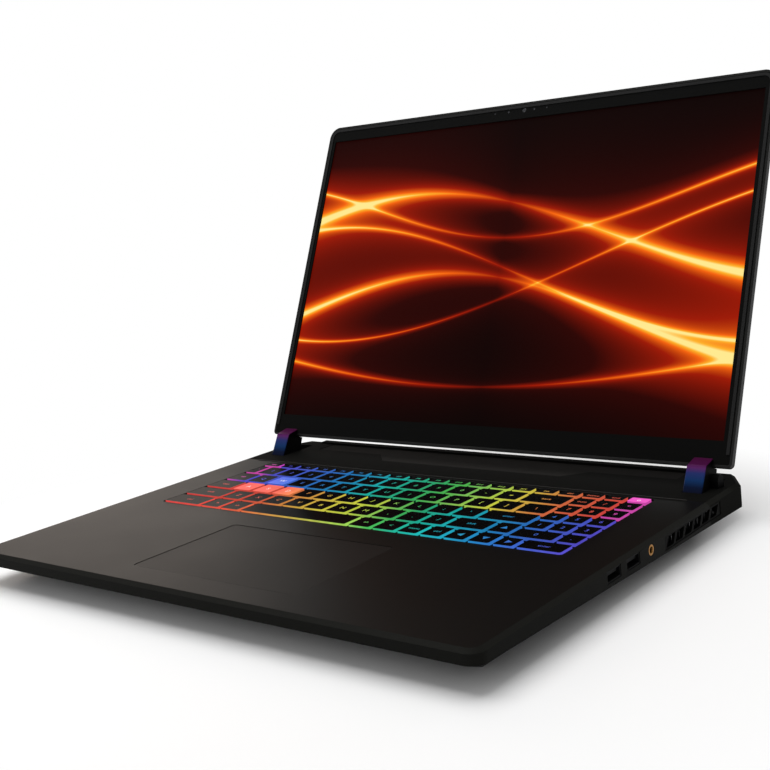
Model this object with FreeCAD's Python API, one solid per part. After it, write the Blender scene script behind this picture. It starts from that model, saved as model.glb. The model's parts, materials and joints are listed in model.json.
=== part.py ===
import FreeCAD, Part
import math
import os

os.makedirs("parts", exist_ok=True)
V = FreeCAD.Vector

# Driving dimensions in millimetres. Y is measured from the front edge of the base and Z from the table;
# every finished piece is moved so that the origin lies under the middle of the open machine.

# Base casing
base_width = 380.0
base_depth = 298.0
deck_height = 21.5
deck_thickness = 2.0
wall = 2.0
deck_edge_inset = 2.5
deck_edge_drop = 2.0
front_corner_radius = 8.0
rear_corner_width = 12.0
rear_corner_depth = 19.0
side_front_height = 7.3
side_rear_height = 15.3
seam = 0.15
foot_height = 2.5
belly_inset = 15.5
belly_front = 24.0
floor_thickness = 2.0
floor_lip = 1.0
rim_rise = 0.5
loose_clearance = 0.3
overshoot = 1.0

# Screws, bosses and feet of the bottom cover
screw_edge = 5.0
screw_port_gap = 7.0
screw_vent_gap = 5.0
front_screw_side = 70.0
rear_screw_gap = 25.0
screw_radius = 1.1
screw_head_radius = 2.4
screw_head_height = 1.3
screw_length = 9.0
boss_radius = 3.0
port_boss_radius = 2.5
board_boss_inset = 7.0
foot_side = 40.0
foot_length = 90.0
foot_width = 10.0
foot_end_flat = 0.2
foot_front_inset = 4.0
foot_rear_inset = 22.0
intake_slot_width = 3.0
intake_slot_length = 18.0
intake_slot_pitch = 6.0
intake_columns = 9
intake_rows = 3

# Lid and hinge line
hinge_to_rear = 31.35
hinge_below_edge = 7.45
hinge_behind_face = 2.84
lid_front_setback = 1.5
lid_gap = 1.0
lid_lean = 24.83
lid_rim = 1.6
lid_skin = 1.4
lid_top_radius = 9.0
lid_bottom_radius = 3.0
lid_edge_inset = 3.0
lid_edge_depth = 2.8
lid_least_radius = 0.8
bezel_thickness = 1.2
bezel_side = 6.9
bezel_bottom = 16.3
bezel_top = 12.5
panel_border_side = 1.5
panel_border_top = 4.0
panel_border_bottom = 7.0
panel_thickness = 2.7
gasket_width = 2.0
gasket_inset = 2.2
gasket_height = 0.5
gasket_start = 8.0
camera_half_width = 31.0
camera_thickness = 2.0
lens_radius = 1.6
lens_clearance = 0.1
lens_sink = 0.3

# Hinge hardware; the cover's section is given in lid coordinates, up from the lid's edge and out of its face
hinge_cover_side = 12.1
hinge_cover_width = 12.5
hinge_cover_front = [(5.2, 0.0), (-0.8, 8.4), (-18.2, 10.0), (-19.5, 7.0), (-15.0, -5.0)]
hinge_cover_heel = 11.5
hinge_side_clearance = 0.5
hinge_swing_clearance = 0.45
pin_radius = 2.0
pin_running_clearance = 0.05
pin_setback = 2.6
eye_radius = 4.0
arm_setback = 4.1
arm_width = 4.0
arm_slot_clearance = 0.2
arm_thickness = 1.4
arm_panel_gap = 0.3
arm_plate_inner = 9.5
arm_plate_outer = 10.0
arm_plate_start = 6.0
arm_plate_length = 54.0
washer_thickness = 1.0
washer_gap = 0.2
washer_count = 2
bracket_thickness = 4.9
bracket_depth = 12.5
pocket_wall = 1.3

# Keyboard, as cells that hold one cap each
keyboard_side = 32.0
keyboard_to_hinge = 36.05
keys_pad_width = 46.0
grave_width = 12.0
backspace_width = 32.4
tab_width = 21.6
caps_width = 26.4
shift_width = 36.0
arrow_width = 16.8
command_width = 16.6
key_row_pitch = 19.2
key_top_row_depth = 11.0
key_gap = 3.0
key_proud = 0.2
key_thickness = 1.5
key_corner_radius = 1.2
key_travel = 1.5
key_floor_clearance = 0.4
stem_side = 4.0
stem_clearance = 0.2
stem_end_above_sheet = 1.8
plate_thickness = 2.5
plate_overlap = 5.0
sheet_thickness = 0.8
well_gap = 1.4
well_corner_radius = 2.0

# Touchpad
pad_width = 127.4
pad_front = 21.0
pad_to_keys = 21.6
pad_gap = 0.4
pad_thickness = 1.6
pad_sink = 0.15
pad_corner_radius = 3.0
tray_border = 4.5
tray_thickness = 1.0
tray_drop = 2.2
pad_tab_width = 20.0
pad_tab_offset = 40.0
pad_tab_depth = 4.0
pad_rib_depth = 4.2
switch_size = 6.0
switch_setback = 12.0
switch_clearance = 0.7

# Sunken strip behind the keyboard
strip_ahead_of_hinge = 6.65
strip_behind_hinge = 8.35
strip_edge = 7.0
strip_hinge_gap = 15.4
strip_inner_x = 75.0
strip_jog = 14.0
strip_depth = 0.6

# Sockets and grilles, counted forward from the hinge along each side
usb_width = 14.0
usb_height = 6.2
usb_length = 16.4
usb_shell = 0.7
usb_cavity_length = 12.0
usb_pitch = 20.5
usb_to_jack = 20.1
usb_deck_gap = 0.1
jack_to_vent = 15.4
jack_radius = 3.0
jack_bore_radius = 1.8
jack_bore_depth = 13.0
jack_length = 14.0
socket_inset = 0.4
socket_fit = 0.12
port_board_thickness = 1.2
port_board_width = 19.0
port_board_wall_gap = 0.5
port_board_front_margin = 10.0
port_board_rear_margin = 7.4
vent_to_hinge = 17.65
vent_length = 72.0
vent_deck_gap = 1.1
vent_height = 7.8
vent_cells = 6
vent_bar = 2.6
vent_slant = 3.2
vent_border = 1.0
rear_slot_pitch = 8.0
rear_slot_width = 5.4
rear_slot_height = 9.8
rear_slot_gap = 8.0
rear_slot_margin = 16.0
rear_socket_length = 16.0
rear_socket_cavity = 11.0
power_x = -46.0
power_size = (13.0, 7.4, 1.2)
video_x = -18.0
video_size = (16.4, 6.6, 0.9)
usb_c_x = 8.0
usb_c_size = (9.2, 3.4, 0.45)
network_x = 38.0
network_size = (15.6, 8.4, 1.2)

# Mainboard and the parts on it, each chip as width, depth and height
board_thickness = 1.2
board_fan_gap = 6.0
board_front_gap = 5.6
board_vent_gap = 4.0
board_tail_step = 18.0
board_tail_gap = 7.0
processor_x = -35.0
processor_size = (44.0, 30.0)
graphics_x = 38.0
graphics_size = (38.0, 38.0)
chip_height = 1.4
chip_to_rear = 39.0
card_edge_gap = 4.0
memory_x = 4.0
memory_size = (67.6, 27.0, 3.4)
memory_gap = 3.0
storage_size = (22.0, 60.0, 2.4)
wireless_size = (22.0, 30.0, 1.8)

# Cooling, battery and speakers
contact_thickness = 0.8
contact_half_width = 62.0
contact_front_margin = 20.0
pipe_height = 1.5
pipe_width = 7.0
pipe_pitch = 8.5
pipe_board_gap = 1.0
pipe_headroom = 0.5
fin_count = 20
fin_thickness = 0.6
fin_back = 1.0
fin_width = 19.0
fin_wall_gap = 1.0
fin_front_margin = 3.5
fin_rear_margin = 2.5
fin_drop = 0.6
fin_headroom = 0.9
fan_fin_gap = 2.0
fan_pipe_gap = 1.5
fan_headroom = 2.3
fan_housing_width = 72.0
fan_housing_depth = 66.0
fan_plate = 0.8
fan_wall = 1.2
fan_tip_gap = 3.8
fan_axial_gap = 0.6
fan_hub_radius = 10.0
fan_inlet_radius = 21.0
fan_spoke_width = 3.0
fan_spokes = 3
fan_post_radius = 1.5
fan_post_drop = 1.0
fan_running_clearance = 0.05
fan_blades = 22
fan_blade_thickness = 0.7
fan_blade_root = 0.5
fan_blade_sweep = 24.0
battery_front_inset = 10.0
battery_board_gap = 10.0
battery_speaker_gap = 13.0
battery_headroom = 2.3
speaker_side = 20.0
speaker_width = 32.0
speaker_front_inset = 16.0
speaker_port_gap = 16.0
speaker_height = 8.5
speaker_corner_radius = 3.0

# Values worked out from the sizes above
half = base_width / 2.0
deck_under = deck_height - deck_thickness
floor_top = foot_height + floor_thickness
belly_x = half - belly_inset
belly_rear = base_depth - belly_inset
lean = math.radians(lid_lean)
hinge_y = base_depth - hinge_to_rear
hinge_z = deck_height + lid_gap + hinge_behind_face
lid_width = base_width
lid_height = hinge_y - hinge_below_edge - lid_front_setback
lid_thickness = bezel_thickness + panel_thickness + arm_panel_gap + arm_thickness + lid_skin
screen_half = lid_width / 2.0 - bezel_side
screen_top = lid_height - bezel_top
lid_back_y = (lid_thickness - hinge_behind_face) * math.cos(lean)
lid_top_y = (lid_height - lid_edge_inset + hinge_below_edge) * math.sin(lean)
overall_depth = hinge_y + lid_top_y + lid_back_y
centre_shift = V(0, -overall_depth / 2.0, 0)


def box(x0, x1, y0, y1, z0, z1):
    return Part.makeBox(x1 - x0, y1 - y0, z1 - z0, V(x0, y0, z0))


def mid_box(x, y, width, depth, z0, z1):
    return box(x - width / 2.0, x + width / 2.0, y - depth / 2.0, y + depth / 2.0, z0, z1)


def tube_x(radius, x0, x1, y, z):
    return Part.makeCylinder(radius, x1 - x0, V(x0, y, z), V(1, 0, 0))


def post(radius, x, y, z0, z1):
    return Part.makeCylinder(radius, z1 - z0, V(x, y, z0), V(0, 0, 1))


def prism(points, direction):
    wire = Part.makePolygon(points + [points[0]])
    return Part.Face(wire).extrude(direction)


def mirrored(shape):
    return shape.mirror(V(0, 0, 0), V(1, 0, 0))


def both_sides(shapes):
    return Part.makeCompound(shapes + [mirrored(shape) for shape in shapes])


def rounded_slab(x0, x1, y0, y1, z0, z1, radius):
    slab = box(x0, x1, y0, y1, z0, z1)
    uprights = [edge for edge in slab.Edges if abs(edge.tangentAt(edge.FirstParameter).z) > 0.9]
    return slab.makeFillet(radius, uprights)


def save(name, shape):
    piece = shape.copy()
    piece.translate(centre_shift)
    piece.exportStep("parts/" + name + ".step")


def rounded_wire(corners, at):
    # Closed outline through (x, y, radius) corners, with an arc wherever the radius isn't zero.
    turns = []
    for index, (x, y, radius) in enumerate(corners):
        here = V(x, y, 0)
        back = V(*corners[index - 1][:2], 0) - here
        ahead = V(*corners[(index + 1) % len(corners)][:2], 0) - here
        back.normalize()
        ahead.normalize()
        half_angle = back.getAngle(ahead) / 2.0
        reach = radius / math.tan(half_angle)
        middle = here + (back + ahead).normalize() * (radius / math.sin(half_angle) - radius)
        turns.append((here + back * reach, middle, here + ahead * reach, radius))
    edges = []
    for index, (start, middle, end, radius) in enumerate(turns):
        if radius > 0:
            edges.append(Part.Arc(at(start), at(middle), at(end)).toShape())
        edges.append(Part.makeLine(at(end), at(turns[(index + 1) % len(turns)][0])))
    return Part.Wire(edges)


def split_height(y):
    return deck_height - side_front_height - (side_rear_height - side_front_height) * y / base_depth


def base_outline(inset, height_at, front=None):
    # Plan of the casing: round front corners, cut rear corners, every side moved in by the inset.
    # A front distance of its own may be given for the front edge.
    front = inset if front is None else front
    side = half - inset
    rear = base_depth - inset
    radius = front_corner_radius - min(inset, front_corner_radius - 1.0)
    cut = math.hypot(rear_corner_width, rear_corner_depth)
    nx = rear_corner_depth / cut
    ny = rear_corner_width / cut
    side_end = base_depth - rear_corner_depth - inset * (1.0 - nx) / ny
    rear_end = half - (inset + ny * (rear_corner_depth - inset)) / nx
    corners = [(-side, front, radius), (side, front, radius), (side, side_end, 0), (rear_end, rear, 0)]
    corners += [(-rear_end, rear, 0), (-side, side_end, 0)]
    return rounded_wire(corners, lambda p: V(p.x, p.y, height_at(p.y)))


def level(z):
    return lambda y: z


def above_split(rise):
    return lambda y: split_height(y) + rise


def loft(first, second):
    return Part.makeLoft([first, second], True, True)


def lid_point(u, v, w):
    # Lid coordinates: u to the right, v up from the lid's lower edge, w out of the screen.
    return V(u, -hinge_behind_face - w, v + hinge_below_edge)


def lid_box(u0, u1, v0, v1, w0, w1):
    low = lid_point(u0, v0, w1)
    return Part.makeBox(u1 - u0, w1 - w0, v1 - v0, low)


def lid_outline(inset, w):
    side = lid_width / 2.0 - inset
    high = lid_height - inset
    upper = max(lid_top_radius - inset, lid_least_radius)
    lower = max(lid_bottom_radius - inset, lid_least_radius)
    corners = [(-side, inset, lower), (side, inset, lower), (side, high, upper), (-side, high, upper)]
    return rounded_wire(corners, lambda p: lid_point(p.x, p.y, w))


def lid_slab(inset, w0, w1):
    return Part.Face(lid_outline(inset, w0)).extrude(V(0, w0 - w1, 0))


def open_lid(shape):
    placed = shape.copy()
    placed.rotate(V(0, 0, 0), V(1, 0, 0), -lid_lean)
    placed.translate(V(0, hinge_y, hinge_z))
    return placed


# Keyboard layout: one list of (left, right, front, rear, name) cells; a name stands for a key of its own
keys_left = -half + keyboard_side
keys_right = half - keyboard_side
pad_left = keys_right - keys_pad_width
keys_main_width = pad_left - keys_left
key_pitch = (keys_main_width - grave_width - backspace_width) / 12.0
keys_rear = hinge_y - keyboard_to_hinge
rows_rear = keys_rear - key_top_row_depth
keys_front = rows_rear - 5 * key_row_pitch
pad_key_pitch = keys_pad_width / 3.0
pad_row_pitch = (rows_rear - keys_front) / 6.0


def row_cells(front, rear, widths, names):
    cells = []
    x = keys_left
    for index, width in enumerate(widths):
        cells.append((x, x + width, front, rear, names.get(index)))
        x += width
    return cells


def main_row(number, widths, names):
    front = keys_front + number * key_row_pitch
    return row_cells(front, front + key_row_pitch, widths, names)


def fill_row(lead, count, tail):
    last = keys_main_width - lead - count * key_pitch - sum(tail)
    return [lead] + [key_pitch] * count + [last] + tail


after_space = [key_pitch, key_pitch, command_width, command_width, arrow_width, arrow_width]
space_width = keys_main_width - shift_width - 2 * key_pitch - sum(after_space)
bottom_row = [shift_width, key_pitch, key_pitch, space_width] + after_space
top_row = [keys_main_width / 16.0] * 16 + [pad_key_pitch] * 3
a_row_names = {1: "key_a", 2: "key_s", 3: "key_d", 12: "key_enter"}

rows = {
    "keys_bottom_row": main_row(0, bottom_row, {3: "key_space"}),
    "keys_z_row": main_row(1, fill_row(shift_width, 10, [arrow_width]), {}),
    "keys_a_row": main_row(2, fill_row(caps_width, 11, []), a_row_names),
    "keys_q_row": main_row(3, fill_row(tab_width, 12, []), {2: "key_w"}),
    "keys_number_row": main_row(4, fill_row(grave_width, 12, []), {}),
    "keys_function_row": row_cells(rows_rear, keys_rear, top_row, {0: "key_escape", 18: "key_power"}),
}


def pad_cell(column, span, row):
    left = pad_left + column * pad_key_pitch
    front = keys_front + row * pad_row_pitch
    return (left, left + span * pad_key_pitch, front, front + pad_row_pitch, None)


pad_cells = [pad_cell(0, 1, 0), pad_cell(1, 2, 0), pad_cell(0, 2, 1), pad_cell(2, 1, 1)]
for pad_row in range(2, 6):
    pad_cells += [pad_cell(column, 1, pad_row) for column in range(3)]
rows["keys_number_pad"] = pad_cells

key_top = deck_height + key_proud
key_bottom = key_top - key_thickness
plate_top = key_bottom - key_travel - key_floor_clearance
plate_bottom = plate_top - plate_thickness
sheet_bottom = plate_bottom - sheet_thickness
stem_end = plate_bottom + stem_end_above_sheet


def key_middle(cell):
    return (cell[0] + cell[1]) / 2.0, (cell[2] + cell[3]) / 2.0


def key_cap(cell):
    left, right, front, rear, name = cell
    inset = key_gap / 2.0
    sides = (left + inset, right - inset, front + inset, rear - inset)
    cap = rounded_slab(*sides, key_bottom, key_top, key_corner_radius)
    return cap.fuse(mid_box(*key_middle(cell), stem_side, stem_side, stem_end, key_bottom))


all_cells = []
for row_name, cells in rows.items():
    all_cells += cells
    save(row_name, Part.makeCompound([key_cap(cell) for cell in cells if cell[4] is None]))
    for cell in cells:
        if cell[4]:
            save(cell[4], key_cap(cell))


# Keyboard plate with a guide hole for each stem and a border that meets the deck from below
def around_keys(margin):
    return (keys_left - margin, keys_right + margin, keys_front - margin, keys_rear + margin)


well_margin = well_gap - key_gap / 2.0
plate_area = around_keys(well_margin + plate_overlap)
guide_side = stem_side + 2 * stem_clearance
guide_holes = []
for cell in all_cells:
    hole = mid_box(*key_middle(cell), guide_side, guide_side, plate_bottom - overshoot, plate_top + overshoot)
    guide_holes.append(hole)
plate = box(*plate_area, plate_bottom, deck_under)
plate = plate.cut(box(*around_keys(well_margin + loose_clearance), plate_top, deck_height))
plate = plate.cut(Part.makeCompound(guide_holes))
save("keyboard_plate", plate)
save("backlight_sheet", box(*plate_area, sheet_bottom, plate_bottom))

# Heights and places that the inner pieces share
pipe_low = sheet_bottom - pipe_headroom - pipe_height
contact_low = pipe_low - contact_thickness
board_top = contact_low - chip_height
board_bottom = board_top - board_thickness
vent_rear = hinge_y - vent_to_hinge
vent_front = vent_rear - vent_length
vent_high = deck_under - vent_deck_gap
vent_low = vent_high - vent_height
jack_y = vent_front - jack_to_vent
usb_rear_y = jack_y - usb_to_jack
usb_front_y = usb_rear_y - usb_pitch
port_board_front = usb_front_y - port_board_front_margin
port_board_rear = jack_y + port_board_rear_margin
port_board_outer = half - wall - port_board_wall_gap
usb_high = deck_under - usb_deck_gap
usb_low = usb_high - usb_height
port_board_bottom = usb_low - port_board_thickness
fin_outer_x = half - wall - fin_wall_gap
fin_inner_x = fin_outer_x - fin_width
board_rear = vent_rear - board_vent_gap
rear_pipe_y = board_rear - pipe_board_gap - pipe_width / 2.0
front_pipe_y = rear_pipe_y - pipe_pitch
fan_right = fin_inner_x - fan_fin_gap
fan_x = fan_right - fan_housing_width / 2.0
fan_rear = front_pipe_y - pipe_width / 2.0 - fan_pipe_gap
fan_y = fan_rear - fan_housing_depth / 2.0
board_half = fan_right - fan_housing_width - board_fan_gap
board_front = keys_front - board_front_gap
board_tail_half = board_half - board_tail_step
board_tail_rear = base_depth - board_tail_gap

# Bottom cover: a dish that tapers in from the seam to the flat underside
belly = base_outline(belly_inset, level(foot_height), belly_front)
dish = loft(base_outline(0.0, above_split(-seam)), belly)
dish_mouth = base_outline(wall, above_split(rim_rise))
dish_floor = base_outline(belly_inset + floor_lip, level(floor_top), belly_front + floor_lip)
bottom_cover = dish.cut(loft(dish_mouth, dish_floor))

side_screw_x = belly_x - screw_edge
screw_places = [
    (half - front_screw_side, belly_front + screw_edge),
    (side_screw_x, port_board_front - screw_port_gap),
    (side_screw_x, port_board_rear + screw_vent_gap),
    (board_tail_half + rear_screw_gap, belly_rear - screw_edge),
]
screw_places += [(-x, y) for x, y in screw_places]
board_boss_places = [
    (board_half - board_boss_inset, board_front + board_boss_inset),
    (board_half - board_boss_inset, board_rear - board_boss_inset),
    (board_tail_half - board_boss_inset, board_tail_rear - board_boss_inset),
]
port_boss_x = belly_x - floor_lip - port_boss_radius
port_boss_places = [(usb_front_y + usb_rear_y) / 2.0, (usb_rear_y + jack_y) / 2.0]
bosses = [post(boss_radius, x, y, floor_top, board_bottom) for x, y in board_boss_places]
bosses += [post(port_boss_radius, port_boss_x, y, floor_top, port_board_bottom) for y in port_boss_places]
for boss in bosses:
    bottom_cover = bottom_cover.fuse(boss).fuse(mirrored(boss))

intake = []
for column in range(intake_columns):
    for row in range(intake_rows):
        x = fan_x + (column - (intake_columns - 1) / 2.0) * intake_slot_pitch
        y = fan_y + (row - (intake_rows - 1) / 2.0) * (intake_slot_length + intake_slot_width)
        intake.append(mid_box(x, y, intake_slot_width, intake_slot_length, 0, floor_top + overshoot))
bottom_cover = bottom_cover.cut(both_sides(intake))

screws = []
for x, y in screw_places:
    head = post(screw_head_radius, x, y, foot_height, foot_height + screw_head_height)
    shank = post(screw_radius, x, y, foot_height + screw_head_height, foot_height + screw_length)
    bottom_cover = bottom_cover.cut(head).cut(shank)
    screws.append(head.fuse(shank))
save("bottom_cover", bottom_cover)
save("cover_screws", Part.makeCompound(screws))

foot_outer_x = half - foot_side
foot_end_radius = (foot_width - foot_end_flat) / 2.0


def foot(y):
    sides = (foot_outer_x - foot_length, foot_outer_x, y, y + foot_width)
    return rounded_slab(*sides, 0, foot_height, foot_end_radius)


save("rubber_feet", both_sides([foot(belly_front + foot_front_inset), foot(belly_rear - foot_rear_inset)]))

# Hinge cover section in lid coordinates; its far corner sets the radius of the pocket it turns in
cover_section = hinge_cover_front + [(-hinge_cover_heel, -lid_thickness), (0.0, -lid_thickness), (0.0, 0.0)]
swing_radius = max(math.hypot(v + hinge_below_edge, w + hinge_behind_face) for v, w in cover_section)
pocket_radius = swing_radius + hinge_swing_clearance
hinge_cover_outer_x = half - hinge_cover_side
hinge_cover_inner_x = hinge_cover_outer_x - hinge_cover_width
pocket_inner_x = hinge_cover_inner_x - hinge_side_clearance
pocket_outer_x = hinge_cover_outer_x + hinge_side_clearance
bracket_outer_x = pocket_outer_x + bracket_thickness
bracket_floor = hinge_z - bracket_depth
bracket_half = eye_radius + loose_clearance
pocket_mouth = hinge_z + pocket_radius

# Top case: deck, side walls and the two hinge pockets
band_low = deck_height - deck_edge_drop
lower_body = Part.Face(base_outline(0.0, level(0.0))).extrude(V(0, 0, band_low))
edge_band = loft(base_outline(0.0, level(band_low)), base_outline(deck_edge_inset, level(deck_height)))
hollow = Part.Face(base_outline(wall, level(-overshoot))).extrude(V(0, 0, deck_under + overshoot))
seam_front = V(-half - overshoot, -overshoot, split_height(-overshoot))
seam_rear = V(-half - overshoot, base_depth + overshoot, split_height(base_depth + overshoot))
seam_corners = [seam_front, seam_rear, V(seam_rear.x, seam_rear.y, -overshoot)]
seam_corners.append(V(seam_front.x, seam_front.y, -overshoot))
below_seam = prism(seam_corners, V(base_width + 2 * overshoot, 0, 0))
top_case = lower_body.fuse(edge_band).cut(hollow).cut(below_seam)

shell_top = deck_under + deck_thickness / 2.0
under_deck = box(-half, half, 0, base_depth, 0, shell_top)
shell_inner_x = pocket_inner_x - pocket_wall
shell_outer_x = pocket_outer_x + pocket_wall
pocket_shell = tube_x(pocket_radius + pocket_wall, shell_inner_x, shell_outer_x, hinge_y, hinge_z)
shell_depth = 2 * (bracket_half + pocket_wall)
shell_width = bracket_outer_x + pocket_wall - pocket_outer_x
shell_x = pocket_outer_x + shell_width / 2.0
bracket_shell = mid_box(shell_x, hinge_y, shell_width, shell_depth, bracket_floor - pocket_wall, deck_under)
shells = pocket_shell.fuse(bracket_shell).common(under_deck)
pocket = tube_x(pocket_radius, pocket_inner_x, pocket_outer_x, hinge_y, hinge_z)
pocket_front = hinge_y - pocket_radius
pocket_rear = hinge_y + pocket_radius
pocket = pocket.fuse(box(pocket_inner_x, pocket_outer_x, pocket_front, pocket_rear, hinge_z, pocket_mouth))
slot_front = hinge_y - bracket_half
slot_rear = hinge_y + bracket_half
slot_inner_x = pocket_outer_x - loose_clearance
pocket = pocket.fuse(box(slot_inner_x, bracket_outer_x, slot_front, slot_rear, bracket_floor, pocket_mouth))
top_case = top_case.fuse(shells).fuse(mirrored(shells)).cut(pocket).cut(mirrored(pocket))

for x, y in screw_places:
    top_case = top_case.fuse(post(boss_radius, x, y, floor_top, shell_top))
    top_case = top_case.cut(post(screw_radius, x, y, floor_top - overshoot, foot_height + screw_length))

pad_rear = keys_front - pad_to_keys
above_deck = deck_height + overshoot
well_opening = rounded_slab(*around_keys(well_margin), plate_top, above_deck, well_corner_radius)
pad_sides = (-pad_width / 2.0, pad_width / 2.0, pad_front, pad_rear)
pad_opening = rounded_slab(*pad_sides, deck_under - overshoot, above_deck, pad_corner_radius)
strip_outer_x = hinge_cover_inner_x - strip_hinge_gap
strip_step_y = hinge_y + strip_behind_hinge
strip = [(strip_outer_x, strip_step_y), (strip_inner_x + strip_jog, strip_step_y)]
strip.append((strip_inner_x, hinge_y - strip_ahead_of_hinge))
strip += [(-x, y) for x, y in reversed(strip)]
strip += [(-strip_outer_x, base_depth - strip_edge), (strip_outer_x, base_depth - strip_edge)]
strip_floor = deck_height - strip_depth
strip_cut = prism([V(x, y, strip_floor) for x, y in strip], V(0, 0, strip_depth + overshoot))
top_case = top_case.cut(well_opening).cut(pad_opening).cut(strip_cut)

# Sockets, each with a matching opening in the casing wall
socket_end = half - socket_inset
beyond_side = half + overshoot


def usb_block(y, end, fit):
    width = usb_width + 2 * fit
    length = end - (socket_end - usb_length)
    return mid_box(end - length / 2.0, y, length, width, usb_low - fit, usb_high + fit)


def usb_socket(y):
    mouth_x = socket_end - usb_cavity_length / 2.0 + overshoot
    mouth_length = usb_cavity_length + 2 * overshoot
    mouth_width = usb_width - 2 * usb_shell
    mouth = mid_box(mouth_x, y, mouth_length, mouth_width, usb_low + usb_shell, usb_high - usb_shell)
    return usb_block(y, socket_end, 0.0).cut(mouth)


jack_z = usb_low + jack_radius
jack_start = socket_end - jack_length
jack = tube_x(jack_radius, jack_start, socket_end, jack_y, jack_z)
jack_opening = tube_x(jack_radius + socket_fit, jack_start, beyond_side, jack_y, jack_z)
jack = jack.cut(tube_x(jack_bore_radius, socket_end - jack_bore_depth, half, jack_y, jack_z))
vent_opening = box(half - wall - overshoot, beyond_side, vent_front, vent_rear, vent_low, vent_high)
front_usb_opening = usb_block(usb_front_y, beyond_side, socket_fit)
rear_usb_opening = usb_block(usb_rear_y, beyond_side, socket_fit)
right_openings = [front_usb_opening, rear_usb_opening, jack_opening, vent_opening]
left_openings = [mirrored(rear_usb_opening), mirrored(vent_opening)]

rear_sockets = {
    "power_inlet": (power_x, power_size),
    "video_socket": (video_x, video_size),
    "usb_c_socket": (usb_c_x, usb_c_size),
    "network_socket": (network_x, network_size),
}
rear_face = base_depth - socket_inset
rear_wall_y = base_depth - wall / 2.0
rear_cut_depth = wall + 2 * overshoot
rear_openings = []
for name, (x, (width, height, shell)) in rear_sockets.items():
    high = board_top + height
    body_y = rear_face - rear_socket_length / 2.0
    body = mid_box(x, body_y, width, rear_socket_length, board_top, high)
    mouth_y = rear_face - rear_socket_cavity / 2.0 + overshoot
    mouth_depth = rear_socket_cavity + 2 * overshoot
    save(name, body.cut(mid_box(x, mouth_y, width - 2 * shell, mouth_depth, board_top + shell, high - shell)))
    fit_width = width + 2 * socket_fit
    opening = mid_box(x, rear_wall_y, fit_width, rear_cut_depth, board_top - socket_fit, high + socket_fit)
    rear_openings.append(opening)
slot_start = board_tail_half + rear_slot_gap
slot_room = half - rear_corner_width - rear_slot_width / 2.0 - rear_slot_margin - slot_start
rear_slots = []
for index in range(int(slot_room / rear_slot_pitch) + 1):
    x = slot_start + index * rear_slot_pitch
    slot_low = vent_high - rear_slot_height
    rear_slots.append(mid_box(x, rear_wall_y, rear_slot_width, rear_cut_depth, slot_low, vent_high))
for opening in right_openings + left_openings + rear_openings:
    top_case = top_case.cut(opening)
top_case = top_case.cut(both_sides(rear_slots))
save("top_case", top_case)

save("usb_socket_front", usb_socket(usb_front_y))
save("usb_socket_rear", usb_socket(usb_rear_y))
save("usb_socket_left", mirrored(usb_socket(usb_rear_y)))
save("audio_jack", jack)
port_board_inner = port_board_outer - port_board_width
port_board_plan = (port_board_inner, port_board_outer, port_board_front, port_board_rear)
save("port_boards", both_sides([box(*port_board_plan, port_board_bottom, usb_low)]))

# Side exhaust grille: a thin plate with slanted cells
grille_y = (vent_front + vent_rear) / 2.0
grille_length = vent_length - 2 * socket_fit
grille_depth = wall - socket_inset
grille_x = socket_end - grille_depth / 2.0
grille_low = vent_low + socket_fit
grille_high = vent_high - socket_fit
grille = mid_box(grille_x, grille_y, grille_depth, grille_length, grille_low, grille_high)
cell_pitch = (vent_length - 2 * vent_border - vent_slant) / vent_cells
cell_low = vent_low + vent_border
cell_high = vent_high - vent_border
for index in range(vent_cells):
    start = vent_front + vent_border + index * cell_pitch + vent_bar / 2.0
    end = start + cell_pitch - vent_bar
    corners = [(start, cell_low), (end, cell_low)]
    corners += [(y + vent_slant, cell_high) for y in (end, start)]
    inside = half - wall - overshoot
    grille = grille.cut(prism([V(inside, y, z) for y, z in corners], V(wall + 2 * overshoot, 0, 0)))
save("vent_grilles", both_sides([grille]))

# Touchpad with two rear tabs, its tray and its click switch
tray_top = deck_under - tray_drop
tray_bottom = tray_top - tray_thickness
pad_half = pad_width / 2.0
tray_half = pad_half + tray_border
tray_plan = (-tray_half, tray_half, pad_front - tray_border, pad_rear + 2 * tray_border)
tray = box(*tray_plan, tray_bottom, deck_under)
room_half = pad_half + overshoot
room_plan = (-room_half, room_half, pad_front - overshoot, pad_rear + tray_border + overshoot)
tray_room = box(*room_plan, tray_top, deck_height)
save("touchpad_tray", tray.cut(tray_room))
pad_top = deck_height - pad_sink
pad_bottom = pad_top - pad_thickness
plate_rear = pad_rear - pad_gap
plate_half = pad_half - pad_gap
plate_sides = (-plate_half, plate_half, pad_front + pad_gap, plate_rear)
pad = rounded_slab(*plate_sides, pad_bottom, pad_top, pad_corner_radius - pad_gap)
tab_low = tray_top + loose_clearance
for x in (-pad_tab_offset, pad_tab_offset):
    rib_y = plate_rear - pad_rib_depth / 2.0
    tab_y = plate_rear + pad_tab_depth / 2.0
    pad = pad.fuse(mid_box(x, rib_y, pad_tab_width, pad_rib_depth, tab_low, pad_bottom))
    pad = pad.fuse(mid_box(x, tab_y, pad_tab_width, pad_tab_depth, tab_low, tab_low + tray_thickness))
save("touchpad", pad)
switch_y = pad_front + switch_setback + switch_size / 2.0
switch_top = pad_bottom - switch_clearance
save("touchpad_switch", mid_box(0, switch_y, switch_size, switch_size, tray_top, switch_top))

# Mainboard and what it carries
board = box(-board_half, board_half, board_front, board_rear, board_bottom, board_top)
tail = box(-board_tail_half, board_tail_half, board_rear, board_tail_rear, board_bottom, board_top)
save("mainboard", board.fuse(tail).removeSplitter())


def on_board(x, y, size):
    width, depth, height = size
    return mid_box(x, y, width, depth, board_top, board_top + height)


def card_y(size, place):
    return board_front + card_edge_gap + size[1] / 2.0 + place * (size[1] + memory_gap)


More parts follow.
